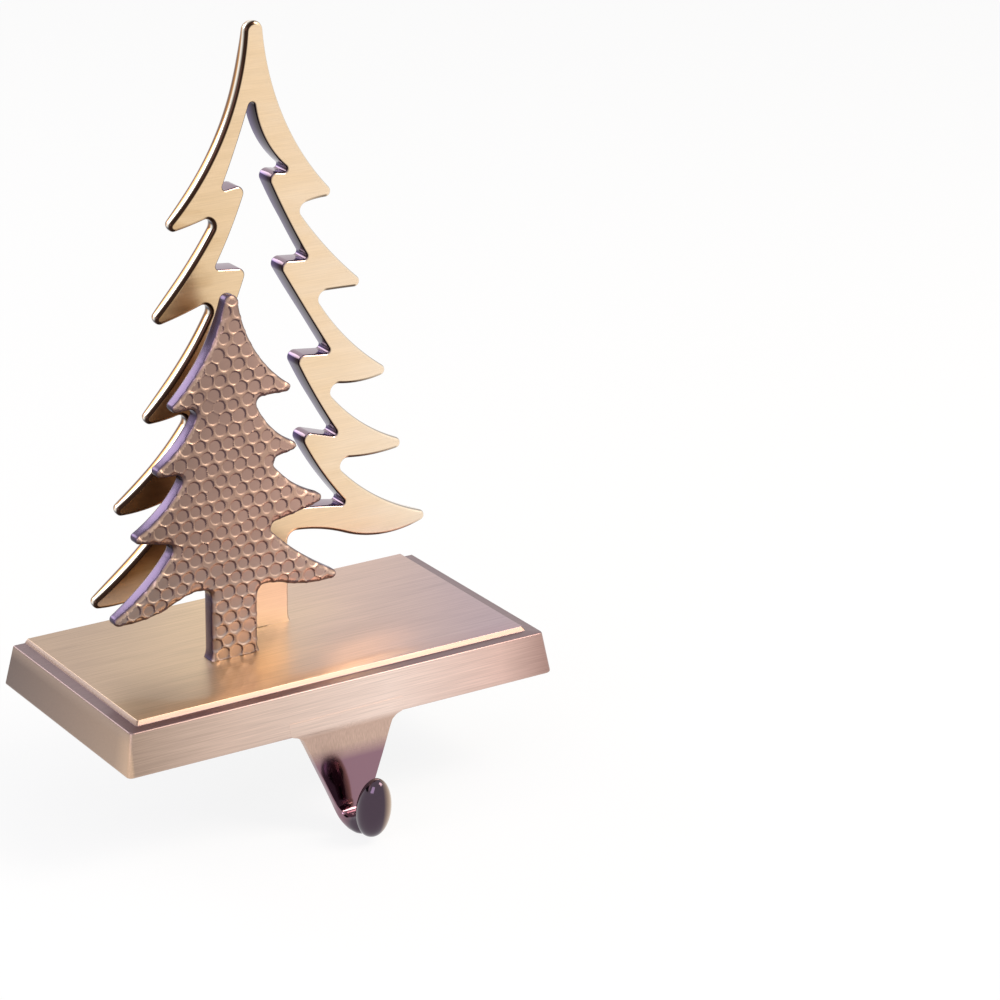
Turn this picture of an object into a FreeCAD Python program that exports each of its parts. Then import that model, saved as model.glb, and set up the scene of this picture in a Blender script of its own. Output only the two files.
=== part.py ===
import FreeCAD, Part
import math
import os
from FreeCAD import Placement, Rotation, Vector

# Mantel stocking holder: a weighted base with a hook that hangs over the front edge of a mantel,
# carrying a tall openwork fir tree and, in front of it, a small solid one with a hammered face.
#
# Millimetres, Z up. X runs along the mantel, -Y faces the room and the origin is the middle of the
# underside of the pad, on the surface that the holder stands on.

SIZES = {
    # Plinth: lower rectangle, height, and how far each wall leans in towards the top
    "base_length": 125.0,
    "base_depth": 67.6,
    "plinth_height": 11.3,
    "wall_lean": 1.85,
    "corner_round": 1.2,
    "bottom_round": 0.8,
    "ledge_edge_round": 0.35,
    # Raised top panel: flush with the back wall, with a ledge and a bevel on the other three sides
    "ledge_width": 3.2,
    "panel_rise": 1.15,
    "panel_bevel": 0.9,
    # Pad under the base and the recess that it is glued into
    "pad_margin": 4.0,
    "pad_corner": 3.0,
    "pad_thickness": 1.6,
    "pad_proud": 0.4,
    "pad_gap": 0.3,
    # Tongue of the hook, which carries the front wall on downwards
    "tongue_width": 26.6,
    "tongue_end_width": 8.2,
    "tongue_drop": 22.1,
    "tongue_lean": 2.7,
    "tongue_thickness": 3.0,
    "tongue_root": 5.0,
    "tongue_flare": 2.0,
    # Fold at the foot of the tongue, and the neck that runs forward from it to the egg, which it meets
    # between two heights on the egg's axis
    "neck_width": 7.4,
    "fold_depth": 3.4,
    "heel_round": 1.6,
    "neck_lower": 0.45,
    "neck_upper": 4.0,
    # Egg-shaped end of the hook, measured along its own leaning axis
    "egg_radius": 4.4,
    "egg_length": 18.0,
    "egg_belly": 7.4,
    "egg_flank": 20.0,
    "egg_stoop": 13.0,
    "egg_reach": 9.4,
    "egg_drop": 26.6,
    # Back tree: where its trunk stands, and its plate
    "back_tree_x": 0.2,
    "back_tree_y": 7.0,
    "back_tree_thickness": 6.5,
    "back_tip_round": 1.5,
    "back_notch_round": 2.0,
    "back_rim_bevel": 1.0,
    "back_rear_bevel": 0.7,
    "opening_corner_round": 0.9,
    "opening_rim_bevel": 0.4,
    # Front tree
    "front_tree_x": -16.6,
    "front_tree_y": -6.6,
    "front_tree_thickness": 5.4,
    "front_tip_round": 1.2,
    "front_notch_round": 1.8,
    "front_rear_bevel": 0.6,
    # Trunks of both trees
    "trunk_width": 13.2,
    "foot_flare": 0.6,
    "foot_height": 2.6,
    "crotch_round": 2.4,
    # Hammer marks: round hollows in offset rows
    "mark_pitch": 4.1,
    "mark_row": 3.55,
    "mark_radius": 1.75,
    "mark_depth": 0.4,
    "mark_floor": 0.45,
    "mark_wander": 0.12,
    "mark_border": 0.8,
    "mark_first_row": 1.4,
    # Screw up into each trunk
    "screw_thread": 4.0,
    "screw_head": 7.6,
    "screw_head_height": 2.4,
    "screw_grip": 5.0,
    "screw_bite": 9.0,
    "socket_width": 2.5,
    "socket_depth": 1.3,
    "thread_gap": 0.1,
    "hole_gap": 0.4,
    "bore_gap": 0.8,
    "blind_gap": 1.5,
}

doc = FreeCAD.newDocument("stocking_holder")
sheet = doc.addObject("Spreadsheet::Sheet", "sizes")
for row, (alias, value) in enumerate(SIZES.items(), start=1):
    sheet.set("A%d" % row, alias)
    sheet.set("B%d" % row, str(value))
    sheet.setAlias("B%d" % row, alias)
doc.recompute()


def size(alias):
    """Value of a cell of the sheet, in millimetres."""
    return float(sheet.get(alias))


# Heights and places that several pieces share

BASE_BOTTOM = size("pad_proud")
LEDGE_TOP = BASE_BOTTOM + size("plinth_height")
SEAT = LEDGE_TOP + size("panel_rise")
RECESS_TOP = size("pad_thickness")
HALF_LENGTH = size("base_length") / 2
HALF_DEPTH = size("base_depth") / 2
WALL_SLOPE = size("wall_lean") / size("plinth_height")
SCREW_SEAT = SEAT - size("screw_grip")
NEAR = 1e-4
SHORTEST_RUN = 1.0
MARK_SIDES = 7
# Radians per column and per row by which the marks wander sideways, and up and down
SIDEWAYS_WANDER = (12.9, 7.7)
UPWARD_WANDER = (5.3, 11.1)
CROWN_STEPS = 30
TRUNKS = {
    "back_tree": (size("back_tree_x"), size("back_tree_y") + size("back_tree_thickness") / 2),
    "front_tree": (size("front_tree_x"), size("front_tree_y") + size("front_tree_thickness") / 2),
}


# Helpers for bodies and sketches

def new_body(name):
    """Empty body whose label is the name of the piece."""
    body = doc.addObject("PartDesign::Body", name)
    body.Label = name
    return body


def origin_plane(body, role):
    """One of the body's own origin planes, found by its role."""
    return next(f for f in body.Origin.OriginFeatures if f.Role == role)


def new_sketch(body, name, role, offset, curves):
    """Sketch on an origin plane of the body, moved by an offset, holding the given closed outline."""
    sketch = body.newObject("Sketcher::SketchObject", name)
    sketch.AttachmentSupport = [(origin_plane(body, role), "")]
    sketch.MapMode = "FlatFace"
    sketch.AttachmentOffset = offset
    sketch.addGeometry(curves, False)
    return sketch


def lifted(height):
    """Offset of a horizontal sketch plane."""
    return Placement(Vector(0, 0, height), Rotation())


def add_feature(body, kind, name, **settings):
    """Feature of the body; a text setting that starts with = is bound to the sheet."""
    feature = body.newObject("PartDesign::" + kind, name)
    for prop, value in settings.items():
        if isinstance(value, str) and value.startswith("="):
            feature.setExpression(prop, value[1:])
        else:
            setattr(feature, prop, value)
    doc.recompute()
    if "Invalid" in feature.State:
        raise RuntimeError("%s could not be made" % feature.Name)
    return feature


def check_cut(before, feature):
    """Stops the build if a cut has removed nothing."""
    if feature.Shape.Volume >= before.Shape.Volume - NEAR:
        raise RuntimeError("%s cuts nothing" % feature.Name)
    return feature


def edge_names(shape, wanted):
    """Names of the edges of a shape that a test picks."""
    return ["Edge%d" % (i + 1) for i, edge in enumerate(shape.Edges) if wanted(edge)]


def round_edges(body, base, name, alias, wanted):
    """Fillet on the edges of the base feature that a test picks, its radius bound to the sheet."""
    names = edge_names(base.Shape, wanted)
    return add_feature(body, "Fillet", name, Base=(base, names), Radius="=sizes." + alias)


# Outlines

def polygon(points):
    """Closed run of straight lines through the points (x, y)."""
    ends = points[1:] + points[:1]
    return [Part.LineSegment(Vector(*a, 0), Vector(*b, 0)) for a, b in zip(points, ends)]


def rectangle(left, front, right, back):
    """Rectangle between two corners."""
    return polygon([(left, front), (right, front), (right, back), (left, back)])


def round_rectangle(half_x, half_y, radius):
    """Rectangle about the middle with round corners, as four lines and four arcs."""
    curves = []
    centres = [(1, -1, 270), (1, 1, 0), (-1, 1, 90), (-1, -1, 180)]
    for i, (sx, sy, start) in enumerate(centres):
        centre = Vector(sx * (half_x - radius), sy * (half_y - radius), 0)
        circle = Part.Circle(centre, Vector(0, 0, 1), radius)
        low, high = math.radians(start), math.radians(start + 90)
        curves.append(Part.ArcOfCircle(circle, low, high))
        nx, ny, _ = centres[(i + 1) % 4]
        away = Vector(math.cos(high), math.sin(high), 0) * radius
        following = Vector(nx * (half_x - radius), ny * (half_y - radius), 0) + away
        curves.append(Part.LineSegment(centre + away, following))
    return curves


def disc(x, y, radius):
    """Full circle."""
    return [Part.Circle(Vector(x, y, 0), Vector(0, 0, 1), radius)]


def arc(start, middle, end):
    """Arc through three points."""
    return Part.ArcOfCircle(Vector(*start, 0), Vector(*middle, 0), Vector(*end, 0))


def arc_on(previous, end):
    """Arc from the end of another arc to a point, without a corner where the two meet."""
    start = previous.EndPoint
    centre = previous.Center
    radial = (start - centre).normalize()
    chord = Vector(*end, 0) - start
    radius = -chord.dot(chord) / (2 * chord.dot(radial))
    hub = start - radial * radius
    bisector = (start + Vector(*end, 0)) / 2 - hub
    return Part.ArcOfCircle(start, hub + bisector.normalize() * abs(radius), Vector(*end, 0))


# Base: plinth, raised panel, tongue and upturned end, cast in one piece

def frustum(body, name, height, bottom, low, top):
    """Block with plane sloping sides between a lower and an upper rectangle (left, front, right, back)."""
    wedge = body.newObject("PartDesign::AdditiveWedge", name)
    wedge.AttachmentSupport = [(origin_plane(body, "XY_Plane"), "")]
    wedge.MapMode = "FlatFace"
    wedge.AttachmentOffset = Placement(Vector(0, 0, bottom), Rotation(Vector(1, 0, 0), 90))
    wedge.Ymin = 0
    wedge.Ymax = 1
    wedge.setExpression("Ymax", height)
    wedge.Xmin, wedge.Xmax, wedge.X2min, wedge.X2max = low[0], low[2], top[0], top[2]
    wedge.Zmin, wedge.Zmax, wedge.Z2min, wedge.Z2max = -low[3], -low[1], -top[3], -top[1]
    doc.recompute()
    return wedge


def plinth():
    """Drafted slab with round corners and a broken lower edge, with the raised panel on top."""
    body = new_body("plinth_body")
    lean = size("wall_lean")
    back = HALF_DEPTH - lean
    slab = frustum(body, "plinth", "sizes.plinth_height", BASE_BOTTOM,
                   (-HALF_LENGTH, -HALF_DEPTH, HALF_LENGTH, HALF_DEPTH),
                   (lean - HALF_LENGTH, lean - HALF_DEPTH, HALF_LENGTH - lean, back))
    corners = round_edges(body, slab, "plinth_corners", "corner_round",
                          lambda e: abs(e.Vertexes[0].Z - e.Vertexes[-1].Z) > SHORTEST_RUN)
    bottom = round_edges(body, corners, "plinth_bottom_edge", "bottom_round",
                         lambda e: all(abs(v.Z - BASE_BOTTOM) < NEAR for v in e.Vertexes))
    rear_corner = back - 2 * size("corner_round")
    round_edges(body, bottom, "ledge_edge", "ledge_edge_round",
                lambda e: all(abs(v.Z - LEDGE_TOP) < NEAR for v in e.Vertexes)
                and min(v.Y for v in e.Vertexes) < rear_corner)
    inset, bevel = lean + size("ledge_width"), size("panel_bevel")
    side, front = HALF_LENGTH - inset, HALF_DEPTH - inset
    panel = frustum(body, "panel", "sizes.panel_rise", LEDGE_TOP, (-side, -front, side, back),
                    (bevel - side, bevel - front, side - bevel, back - size("panel_rise") * WALL_SLOPE))
    underside(body, panel)
    return body


def underside(body, base):
    """Recess for the pad, and a counterbored hole under each trunk."""
    half_x, half_y = HALF_LENGTH - size("pad_margin"), HALF_DEPTH - size("pad_margin")
    outline = new_sketch(body, "recess_outline", "XY_Plane", lifted(RECESS_TOP),
                         round_rectangle(half_x, half_y, size("pad_corner")))
    recess = check_cut(base, add_feature(body, "Pocket", "pad_recess", Profile=outline,
                                         Length="=sizes.pad_thickness"))
    bores = []
    holes = []
    for x, y in TRUNKS.values():
        bores += disc(x, y, (size("screw_head") + size("bore_gap")) / 2)
        holes += disc(x, y, (size("screw_thread") + size("hole_gap")) / 2)
    bore_outline = new_sketch(body, "bore_outline", "XY_Plane", lifted(SCREW_SEAT), bores)
    bore = check_cut(recess, add_feature(body, "Pocket", "counterbores", Profile=bore_outline,
                                         Length=SCREW_SEAT))
    hole_outline = new_sketch(body, "hole_outline", "XY_Plane", lifted(SEAT), holes)
    return check_cut(bore, add_feature(body, "Pocket", "screw_holes", Profile=hole_outline,
                                       Length="=sizes.screw_grip"))


def hook_side():
    """Side view of the hook (y, z): tongue, fold and neck, from its root in the plinth to the egg."""
    root, drop, lean = size("tongue_root"), size("tongue_drop"), size("tongue_lean")
    foot = Vector(-HALF_DEPTH, BASE_BOTTOM, 0)
    fold = foot - Vector(lean, drop, 0)
    down = (fold - foot).normalize()
    behind = Vector(-down.y, down.x, 0) * size("tongue_thickness")
    heel = fold + behind + down * ((behind.y + size("fold_depth")) / -down.y)
    root_front = foot + Vector(root * WALL_SLOPE, root, 0)
    root_back = foot + behind - down * ((root - behind.y) / -down.y)
    egg = egg_point(size("neck_upper"))
    under = egg_point(size("neck_lower"))
    return [(p.x, p.y) for p in (root_front, foot, fold, egg, under, heel, root_back)]


def egg_point(along):
    """Point (y, z) on the axis of the egg, at a distance from its lower end."""
    stoop = math.radians(size("egg_stoop"))
    low = Vector(-HALF_DEPTH - size("egg_reach"), BASE_BOTTOM - size("egg_drop"), 0)
    return low + Vector(-math.sin(stoop), math.cos(stoop), 0) * along


def egg_profile():
    """Half outline of the egg beside its axis: two round ends with a longer arc as the flank.

    The flank is widest at the belly. Each end's radius follows from the rule that circles which
    touch from inside have their centres as far apart as their radii differ.
    """
    wide, length, belly = size("egg_radius"), size("egg_length"), size("egg_belly")
    flank = size("egg_flank")
    hub = Vector(wide - flank, belly, 0)
    joins = []
    for reach, sign, pole in ((belly, 1, 0), (length - belly, -1, length)):
        radius = (2 * flank * wide - wide ** 2 - reach ** 2) / (2 * (flank - reach))
        centre = Vector(0, pole + sign * radius, 0)
        join = centre + (centre - hub).normalize() * radius
        middle = centre + Vector(join.x, join.y - centre.y - sign * radius, 0).normalize() * radius
        joins.append((join, middle, Vector(0, pole, 0)))
    (low_join, low_middle, bottom), (high_join, high_middle, top) = joins
    return [
        Part.ArcOfCircle(bottom, low_middle, low_join),
        Part.ArcOfCircle(low_join, Vector(wide, belly, 0), high_join),
        Part.ArcOfCircle(high_join, high_middle, top),
        Part.LineSegment(top, bottom),
    ]


def hook_front():
    """Front view of the hook (x, z): flared root, straight taper to the fold, then the neck."""
    half, end = size("tongue_width") / 2, size("tongue_end_width") / 2
    drop, flare = size("tongue_drop"), size("tongue_flare")
    taper = math.degrees(math.atan2(half - end, drop))
    tangent = flare * math.tan(math.radians(45 - taper / 2))
    top = BASE_BOTTOM + size("tongue_root")
    low = BASE_BOTTOM - size("egg_drop")
    curves = []
    ends = {}
    for sign in (-1, 1):
        corner = Vector(sign * half, BASE_BOTTOM, 0)
        down = corner + Vector(-sign * math.sin(math.radians(taper)), -math.cos(math.radians(taper)), 0) * tangent
        out = corner + Vector(sign * tangent, 0, 0)
        centre = out - Vector(0, flare, 0)
        curves.append(Part.ArcOfCircle(down, centre + (corner - centre).normalize() * flare, out))
        neck = Vector(sign * size("neck_width") / 2, low, 0)
        fold = Vector(sign * end, BASE_BOTTOM - drop, 0)
        shoulder = Vector(out.x, top, 0)
        ends[sign] = (neck, shoulder)
        for run in ((down, fold, neck), (out, shoulder)):
            curves += [Part.LineSegment(a, b) for a, b in zip(run, run[1:])]
    curves += [Part.LineSegment(ends[-1][i], ends[1][i]) for i in (0, 1)]
    return curves


def hook():
    """Tongue, fold, neck and egg-shaped end, shaped from the side and then from the front."""
    body = new_body("hook_body")
    side = new_sketch(body, "hook_side", "YZ_Plane", Placement(), polygon(hook_side()))
    width = size("tongue_width") + 4 * size("tongue_flare")
    bar = add_feature(body, "Pad", "hook_bar", Profile=side, Length=width, Midplane=True)
    reach = size("egg_drop") + size("tongue_root")
    frame = rectangle(-width, BASE_BOTTOM - 2 * reach, width, BASE_BOTTOM + 2 * reach)
    front = new_sketch(body, "hook_front", "XZ_Plane", Placement(), frame + hook_front())
    trimmed = check_cut(bar, add_feature(body, "Pocket", "hook_taper", Profile=front, Type="ThroughAll",
                                         Midplane=True))
    heel_y, heel_z = hook_side()[5]
    heel = round_edges(body, trimmed, "hook_heel", "heel_round",
                       lambda e: all(math.hypot(v.Y - heel_y, v.Z - heel_z) < NEAR for v in e.Vertexes))
    low = egg_point(0)
    place = Placement(Vector(low.x, low.y, 0), Rotation(Vector(0, 0, 1), size("egg_stoop")))
    profile = new_sketch(body, "egg_profile", "YZ_Plane", place, egg_profile())
    add_feature(body, "Revolution", "egg", Profile=profile, ReferenceAxis=(profile, ["V_Axis"]),
                Angle=360.0)
    return body


def base_with_hook():
    """The whole casting: plinth and hook as one solid."""
    casting = doc.addObject("Part::Fuse", "base_with_hook")
    casting.Base = plinth()
    casting.Tool = hook()
    casting.Refine = True
    casting.Label = "base_with_hook"
    doc.recompute()
    return casting


# Trees. Each side of a tree is a list of boughs from the top down. A bough is the middle of its
# upper edge, its point, the middle of its under edge and the notch under it. The lowest bough has an
# elbow in place of the notch, from which its under edge runs on to the trunk, and then the height at
# which it meets the trunk's side. Corners are sharp here and are rounded as edges of the plate. u is
# measured from the middle of the trunk, v from its foot.

BACK_APEX = (-2.0, 160.6)
BACK_APEX_RADIUS = 2.35
BACK_RIGHT = [
    [(7.7, 132.2), (22.0, 112.6), (15.2, 112.7), (9.6, 111.5)],
    [(18.2, 100.2), (31.0, 87.6), (22.8, 88.0), (14.6, 88.2)],
    [(22.7, 76.7), (38.0, 63.5), (28.5, 61.9), (16.4, 64.2)],
    [(27.1, 52.3), (44.8, 42.6), (32.4, 41.1), (19.2, 42.8)],
    [(34.5, 28.9), (51.4, 21.4), (38.8, 18.2), (23.8, 20.9), 24.7],
]
BACK_LEFT = [
    [(-14.0, 128.2), (-29.7, 109.5), (-20.6, 111.0), (-11.6, 113.6)],
    [(-23.8, 96.6), (-34.1, 86.0), (-23.6, 88.3), (-13.2, 91.8)],
    [(-23.5, 75.2), (-36.5, 61.6), (-28.0, 61.8), (-19.8, 63.9)],
    [(-31.7, 49.5), (-46.0, 39.2), (-35.2, 38.9), (-22.4, 42.6)],
    [(-35.9, 28.1), (-52.5, 15.8), (-42.2, 14.9), (-27.6, 19.1), 24.6],
]
# The opening: its top, then down each side the middle of an edge, the notch at its foot and the tooth
# under the notch, and at the bottom the crest of the floor
OPENING_TOP = (-2.7, 143.1)
OPENING_RIGHT = [
    [(1.2, 129.4), (9.4, 120.4), (0.8, 121.9)],
    [(6.2, 110.4), (13.4, 97.3), (3.7, 98.2)],
    [(10.8, 86.2), (20.0, 71.2), (8.6, 72.5)],
    [(15.0, 60.1), (22.6, 47.9), (9.6, 51.9)],
    [(16.7, 39.3), (25.2, 28.4)],
]
OPENING_LEFT = [
    [(-7.3, 130.0), (-12.1, 118.6), (-4.5, 119.8)],
    [(-8.7, 109.4), (-14.2, 98.9), (-4.8, 97.9)],
    [(-10.0, 85.1), (-17.3, 72.4), (-5.8, 72.6)],
    [(-13.3, 60.7), (-21.5, 48.6), (-8.4, 50.1)],
    [(-16.3, 39.5), (-24.7, 28.6)],
]
OPENING_CREST = (-0.2, 31.2)
FRONT_APEX = (0.1, 96.2)
FRONT_APEX_RADIUS = 2.0
FRONT_RIGHT = [
    [(8.3, 78.6), (20.4, 68.0), (13.4, 68.4), (6.3, 68.2)],
    [(12.4, 58.6), (22.5, 52.9), (15.7, 52.2), (10.6, 50.9)],
    [(18.4, 43.0), (28.6, 38.1), (18.7, 35.5), (9.0, 33.8)],
    [(19.4, 24.2), (32.5, 15.8), (24.4, 15.1), (15.0, 16.8), 17.7],
]
FRONT_LEFT = [
    [(-8.8, 78.8), (-19.6, 68.1), (-14.6, 68.4), (-9.2, 68.3)],
    [(-16.2, 58.0), (-24.6, 52.8), (-19.6, 52.2), (-13.2, 51.8)],
    [(-20.8, 42.1), (-31.0, 36.6), (-24.0, 35.3), (-16.2, 33.5)],
    [(-25.4, 23.1), (-36.8, 15.8), (-27.0, 15.2), (-16.0, 18.4), 19.3],
]


def crotch_of(boughs):
    """Place (u, v) where the lowest bough of one side meets the side of the trunk."""
    lowest = boughs[-1]
    return math.copysign(size("trunk_width") / 2, lowest[1][0]), lowest[-1]


def side_curves(shoulder, boughs):
    """Edges of one side of a tree, from its shoulder at the top down to the trunk."""
    curves = []
    start = shoulder
    for upper, tip, under, notch, *crotch in boughs:
        curves.append(arc(start, upper, tip))
        curves.append(arc(tip, under, notch))
        if crotch:
            curves.append(arc_on(curves[-1], crotch_of(boughs)))
        start = notch
    return curves


def tree_outline(apex, radius, right, left):
    """Closed outline of a tree: crown, both sides, trunk and the slight flare of its foot."""
    centre = Vector(*apex, 0) - Vector(0, radius, 0)
    curves = []
    shoulders = []
    for sign, boughs in ((1, right), (-1, left)):
        shoulder = crown_shoulder(centre, radius, boughs[0], sign)
        shoulders.append(shoulder)
        curves += side_curves((shoulder.x, shoulder.y), boughs)
    curves.append(Part.ArcOfCircle(shoulders[1], Vector(*apex, 0), shoulders[0]))
    half, flare, high = size("trunk_width") / 2, size("foot_flare"), size("foot_height")
    sweep = (flare ** 2 + high ** 2) / (2 * flare)
    toes = []
    for sign, boughs in ((1, right), (-1, left)):
        ankle, toe = Vector(sign * half, high, 0), Vector(sign * (half + flare), 0, 0)
        hub = ankle + Vector(sign * sweep, 0, 0)
        middle = hub + ((ankle + toe) / 2 - hub).normalize() * sweep
        crotch = Vector(*crotch_of(boughs), 0)
        curves += [Part.LineSegment(crotch, ankle), Part.ArcOfCircle(ankle, middle, toe)]
        toes.append(toe)
    curves.append(Part.LineSegment(*toes))
    return curves


def crown_shoulder(centre, radius, bough, sign):
    """Place where the round crown runs into the upper edge of the first bough without a corner.

    It lies on the line from the middle of the crown to the middle of the edge's arc, which itself
    shifts a little with the place, so the place is worked out again until it stays.
    """
    shoulder = centre + Vector(sign * radius, 0, 0)
    for _ in range(CROWN_STEPS):
        hub = arc((shoulder.x, shoulder.y), bough[0], bough[1]).Center
        shoulder = centre + (hub - centre).normalize() * radius
    return shoulder


def opening_outline():
    """Closed outline of the opening, stepped like the boughs round it."""
    curves = []
    for steps in (OPENING_RIGHT, OPENING_LEFT):
        corner = OPENING_TOP
        for middle, notch, *tooth in steps:
            curves.append(arc(corner, middle, notch))
            if tooth:
                curves.append(Part.LineSegment(Vector(*notch, 0), Vector(*tooth[0], 0)))
                corner = tooth[0]
    curves.append(arc(OPENING_RIGHT[-1][1], OPENING_CREST, OPENING_LEFT[-1][1]))
    return curves


def upright_at(points):
    """Test that picks the edges that run through the plate at the given corners (u, v)."""
    def wanted(edge):
        a, b = edge.Vertexes[0], edge.Vertexes[-1]
        if abs(a.X - b.X) > NEAR or abs(a.Z - b.Z) > NEAR or abs(a.Y - b.Y) < SHORTEST_RUN:
            return False
        return any(math.hypot(a.X - u, a.Z - v) < NEAR for u, v in points)
    return wanted


def rim_of(base, depth, outer):
    """Test that picks the outer or the inner rim of a plate's face at one depth, but not the foot."""
    faces = [f for f in base.Shape.Faces if all(abs(v.Y - depth) < NEAR for v in f.Vertexes)]
    face = max(faces, key=lambda f: f.Area)
    rim = [e for w in face.Wires if w.isSame(face.OuterWire) == outer for e in w.Edges]

    def wanted(edge):
        on_foot = all(v.Z < NEAR for v in edge.Vertexes)
        return not on_foot and any(edge.isSame(e) for e in rim)
    return wanted


def tree_plate(name, curves, thickness):
    """Body with the plate of a tree: front face in the plane y = 0, foot at z = 0."""
    body = new_body(name)
    outline = new_sketch(body, name + "_outline", "XZ_Plane", Placement(), curves)
    plate = add_feature(body, "Pad", name + "_plate", Profile=outline, Reversed=True,
                        Length="=sizes." + thickness)
    return body, plate


def bevel_edges(body, base, name, alias, wanted):
    """Even chamfer on the edges of the base feature that a test picks, its size bound to the sheet."""
    names = edge_names(base.Shape, wanted)
    return add_feature(body, "Chamfer", name, Base=(base, names), Size="=sizes." + alias)


def corners_of(boughs):
    """Points and notches of one side, and the crotch where its last bough meets the trunk."""
    return [b[1] for b in boughs], [b[3] for b in boughs[:-1]], crotch_of(boughs)


def round_tree(body, plate, right, left, tip_alias, notch_alias):
    """Rounds the boughs' points, the notches between them and the crotches at the trunk."""
    tips_r, notches_r, crotch_r = corners_of(right)
    tips_l, notches_l, crotch_l = corners_of(left)
    name = body.Name
    step = round_edges(body, plate, name + "_points", tip_alias, upright_at(tips_r + tips_l))
    step = round_edges(body, step, name + "_notches", notch_alias, upright_at(notches_r + notches_l))
    return round_edges(body, step, name + "_crotches", "crotch_round", upright_at([crotch_r, crotch_l]))


def place_tree(piece, name):
    """Stands a tree on the panel, its place bound to the sheet."""
    piece.setExpression("Placement.Base.x", "sizes.%s_x" % name)
    piece.setExpression("Placement.Base.y", "sizes.%s_y" % name)
    piece.setExpression("Placement.Base.z", "sizes.pad_proud + sizes.plinth_height + sizes.panel_rise")


def bore_trunk(body, base, depth_alias):
    """Threaded blind hole up into the trunk."""
    name = body.Name
    middle = size(depth_alias) / 2
    outline = new_sketch(body, name + "_hole_outline", "XY_Plane", Placement(),
                         disc(0, middle, (size("screw_thread") + size("thread_gap")) / 2))
    return check_cut(base, add_feature(body, "Pocket", name + "_hole", Profile=outline, Reversed=True,
                                       Length="=sizes.screw_bite + sizes.blind_gap"))


def back_tree():
    """Tall openwork tree with softened edges."""
    curves = tree_outline(BACK_APEX, BACK_APEX_RADIUS, BACK_RIGHT, BACK_LEFT)
    body, plate = tree_plate("back_tree", curves, "back_tree_thickness")
    step = round_tree(body, plate, BACK_RIGHT, BACK_LEFT, "back_tip_round", "back_notch_round")
    opening = new_sketch(body, "opening_outline", "XZ_Plane", Placement(), opening_outline())
    step = check_cut(step, add_feature(body, "Pocket", "opening", Profile=opening, Type="ThroughAll",
                                       Midplane=True))
    teeth = [OPENING_TOP] + [p for step in OPENING_RIGHT + OPENING_LEFT for p in step[1:]]
    step = round_edges(body, step, "opening_corners", "opening_corner_round", upright_at(teeth))
    rims = (("front", 0, "back_rim_bevel"), ("rear", size("back_tree_thickness"), "back_rear_bevel"))
    for side, depth, alias in rims:
        step = bevel_edges(body, step, side + "_rim", alias, rim_of(step, depth, True))
    step = bevel_edges(body, step, "opening_rim", "opening_rim_bevel", rim_of(step, 0, False))
    bore_trunk(body, step, "back_tree_thickness")
    place_tree(body, "back_tree")
    return body


def mark_centres(outline):
    """Centres of the hammer marks: offset rows that wander a little, kept inside the outline."""
    face = Part.Face(Part.Wire(Part.__sortEdges__([c.toShape() for c in outline])))
    box = face.BoundBox
    pitch, row, wander = size("mark_pitch"), size("mark_row"), size("mark_wander")
    border = face.Wires[0]
    centres = []
    for j in range(int(box.YLength / row) + 2):
        for i in range(-int(box.XLength / pitch) - 1, int(box.XLength / pitch) + 2):
            shift = pitch / 2 if j % 2 else 0
            sideways = SIDEWAYS_WANDER[0] * i + SIDEWAYS_WANDER[1] * j
            upward = UPWARD_WANDER[0] * i + UPWARD_WANDER[1] * j
            u = i * pitch + shift + wander * math.sin(sideways)
            v = size("mark_first_row") + j * row + wander * math.cos(upward)
            point = Vector(u, v, 0)
            if not face.isInside(point, NEAR, True):
                continue
            if border.distToShape(Part.Vertex(point))[0] > size("mark_border"):
                centres.append(point)
    return centres


def punch(centre):
    """Shallow many-sided dish: the hollow that one blow leaves, with some height in front of the face."""
    radius, depth = size("mark_radius"), size("mark_depth")
    floor = radius * size("mark_floor")
    lead = depth
    rings = []
    for y, r in ((-lead, radius + (radius - floor) * lead / depth), (depth, floor)):
        turns = [2 * math.pi * k / MARK_SIDES for k in range(MARK_SIDES + 1)]
        rings.append([Vector(centre.x + r * math.cos(a), y, centre.y + r * math.sin(a)) for a in turns])
    outer, inner = rings
    faces = [Part.Face(Part.makePolygon(ring)) for ring in rings]
    for k in range(MARK_SIDES):
        side = [outer[k], outer[k + 1], inner[k + 1], inner[k], outer[k]]
        faces.append(Part.Face(Part.makePolygon(side)))
    return Part.makeSolid(Part.makeShell(faces))


def hammer_marks(outline):
    """All the punches that strike the face, as one compound."""
    marks = doc.addObject("Part::Feature", "hammer_marks")
    marks.Shape = Part.makeCompound([punch(centre) for centre in mark_centres(outline)])
    return marks


def front_tree():
    """Small solid tree: a plate whose front face is struck all over."""
    curves = tree_outline(FRONT_APEX, FRONT_APEX_RADIUS, FRONT_RIGHT, FRONT_LEFT)
    body, plate = tree_plate("front_tree_blank", curves, "front_tree_thickness")
    step = round_tree(body, plate, FRONT_RIGHT, FRONT_LEFT, "front_tip_round", "front_notch_round")
    step = bevel_edges(body, step, "front_tree_rear_rim", "front_rear_bevel",
                       rim_of(step, size("front_tree_thickness"), True))
    bore_trunk(body, step, "front_tree_thickness")
    struck = doc.addObject("Part::Cut", "front_tree")
    struck.Base = body
    struck.Tool = hammer_marks(curves)
    struck.Label = "front_tree"
    place_tree(struck, "front_tree")
    return struck


# Screws and pad

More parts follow.
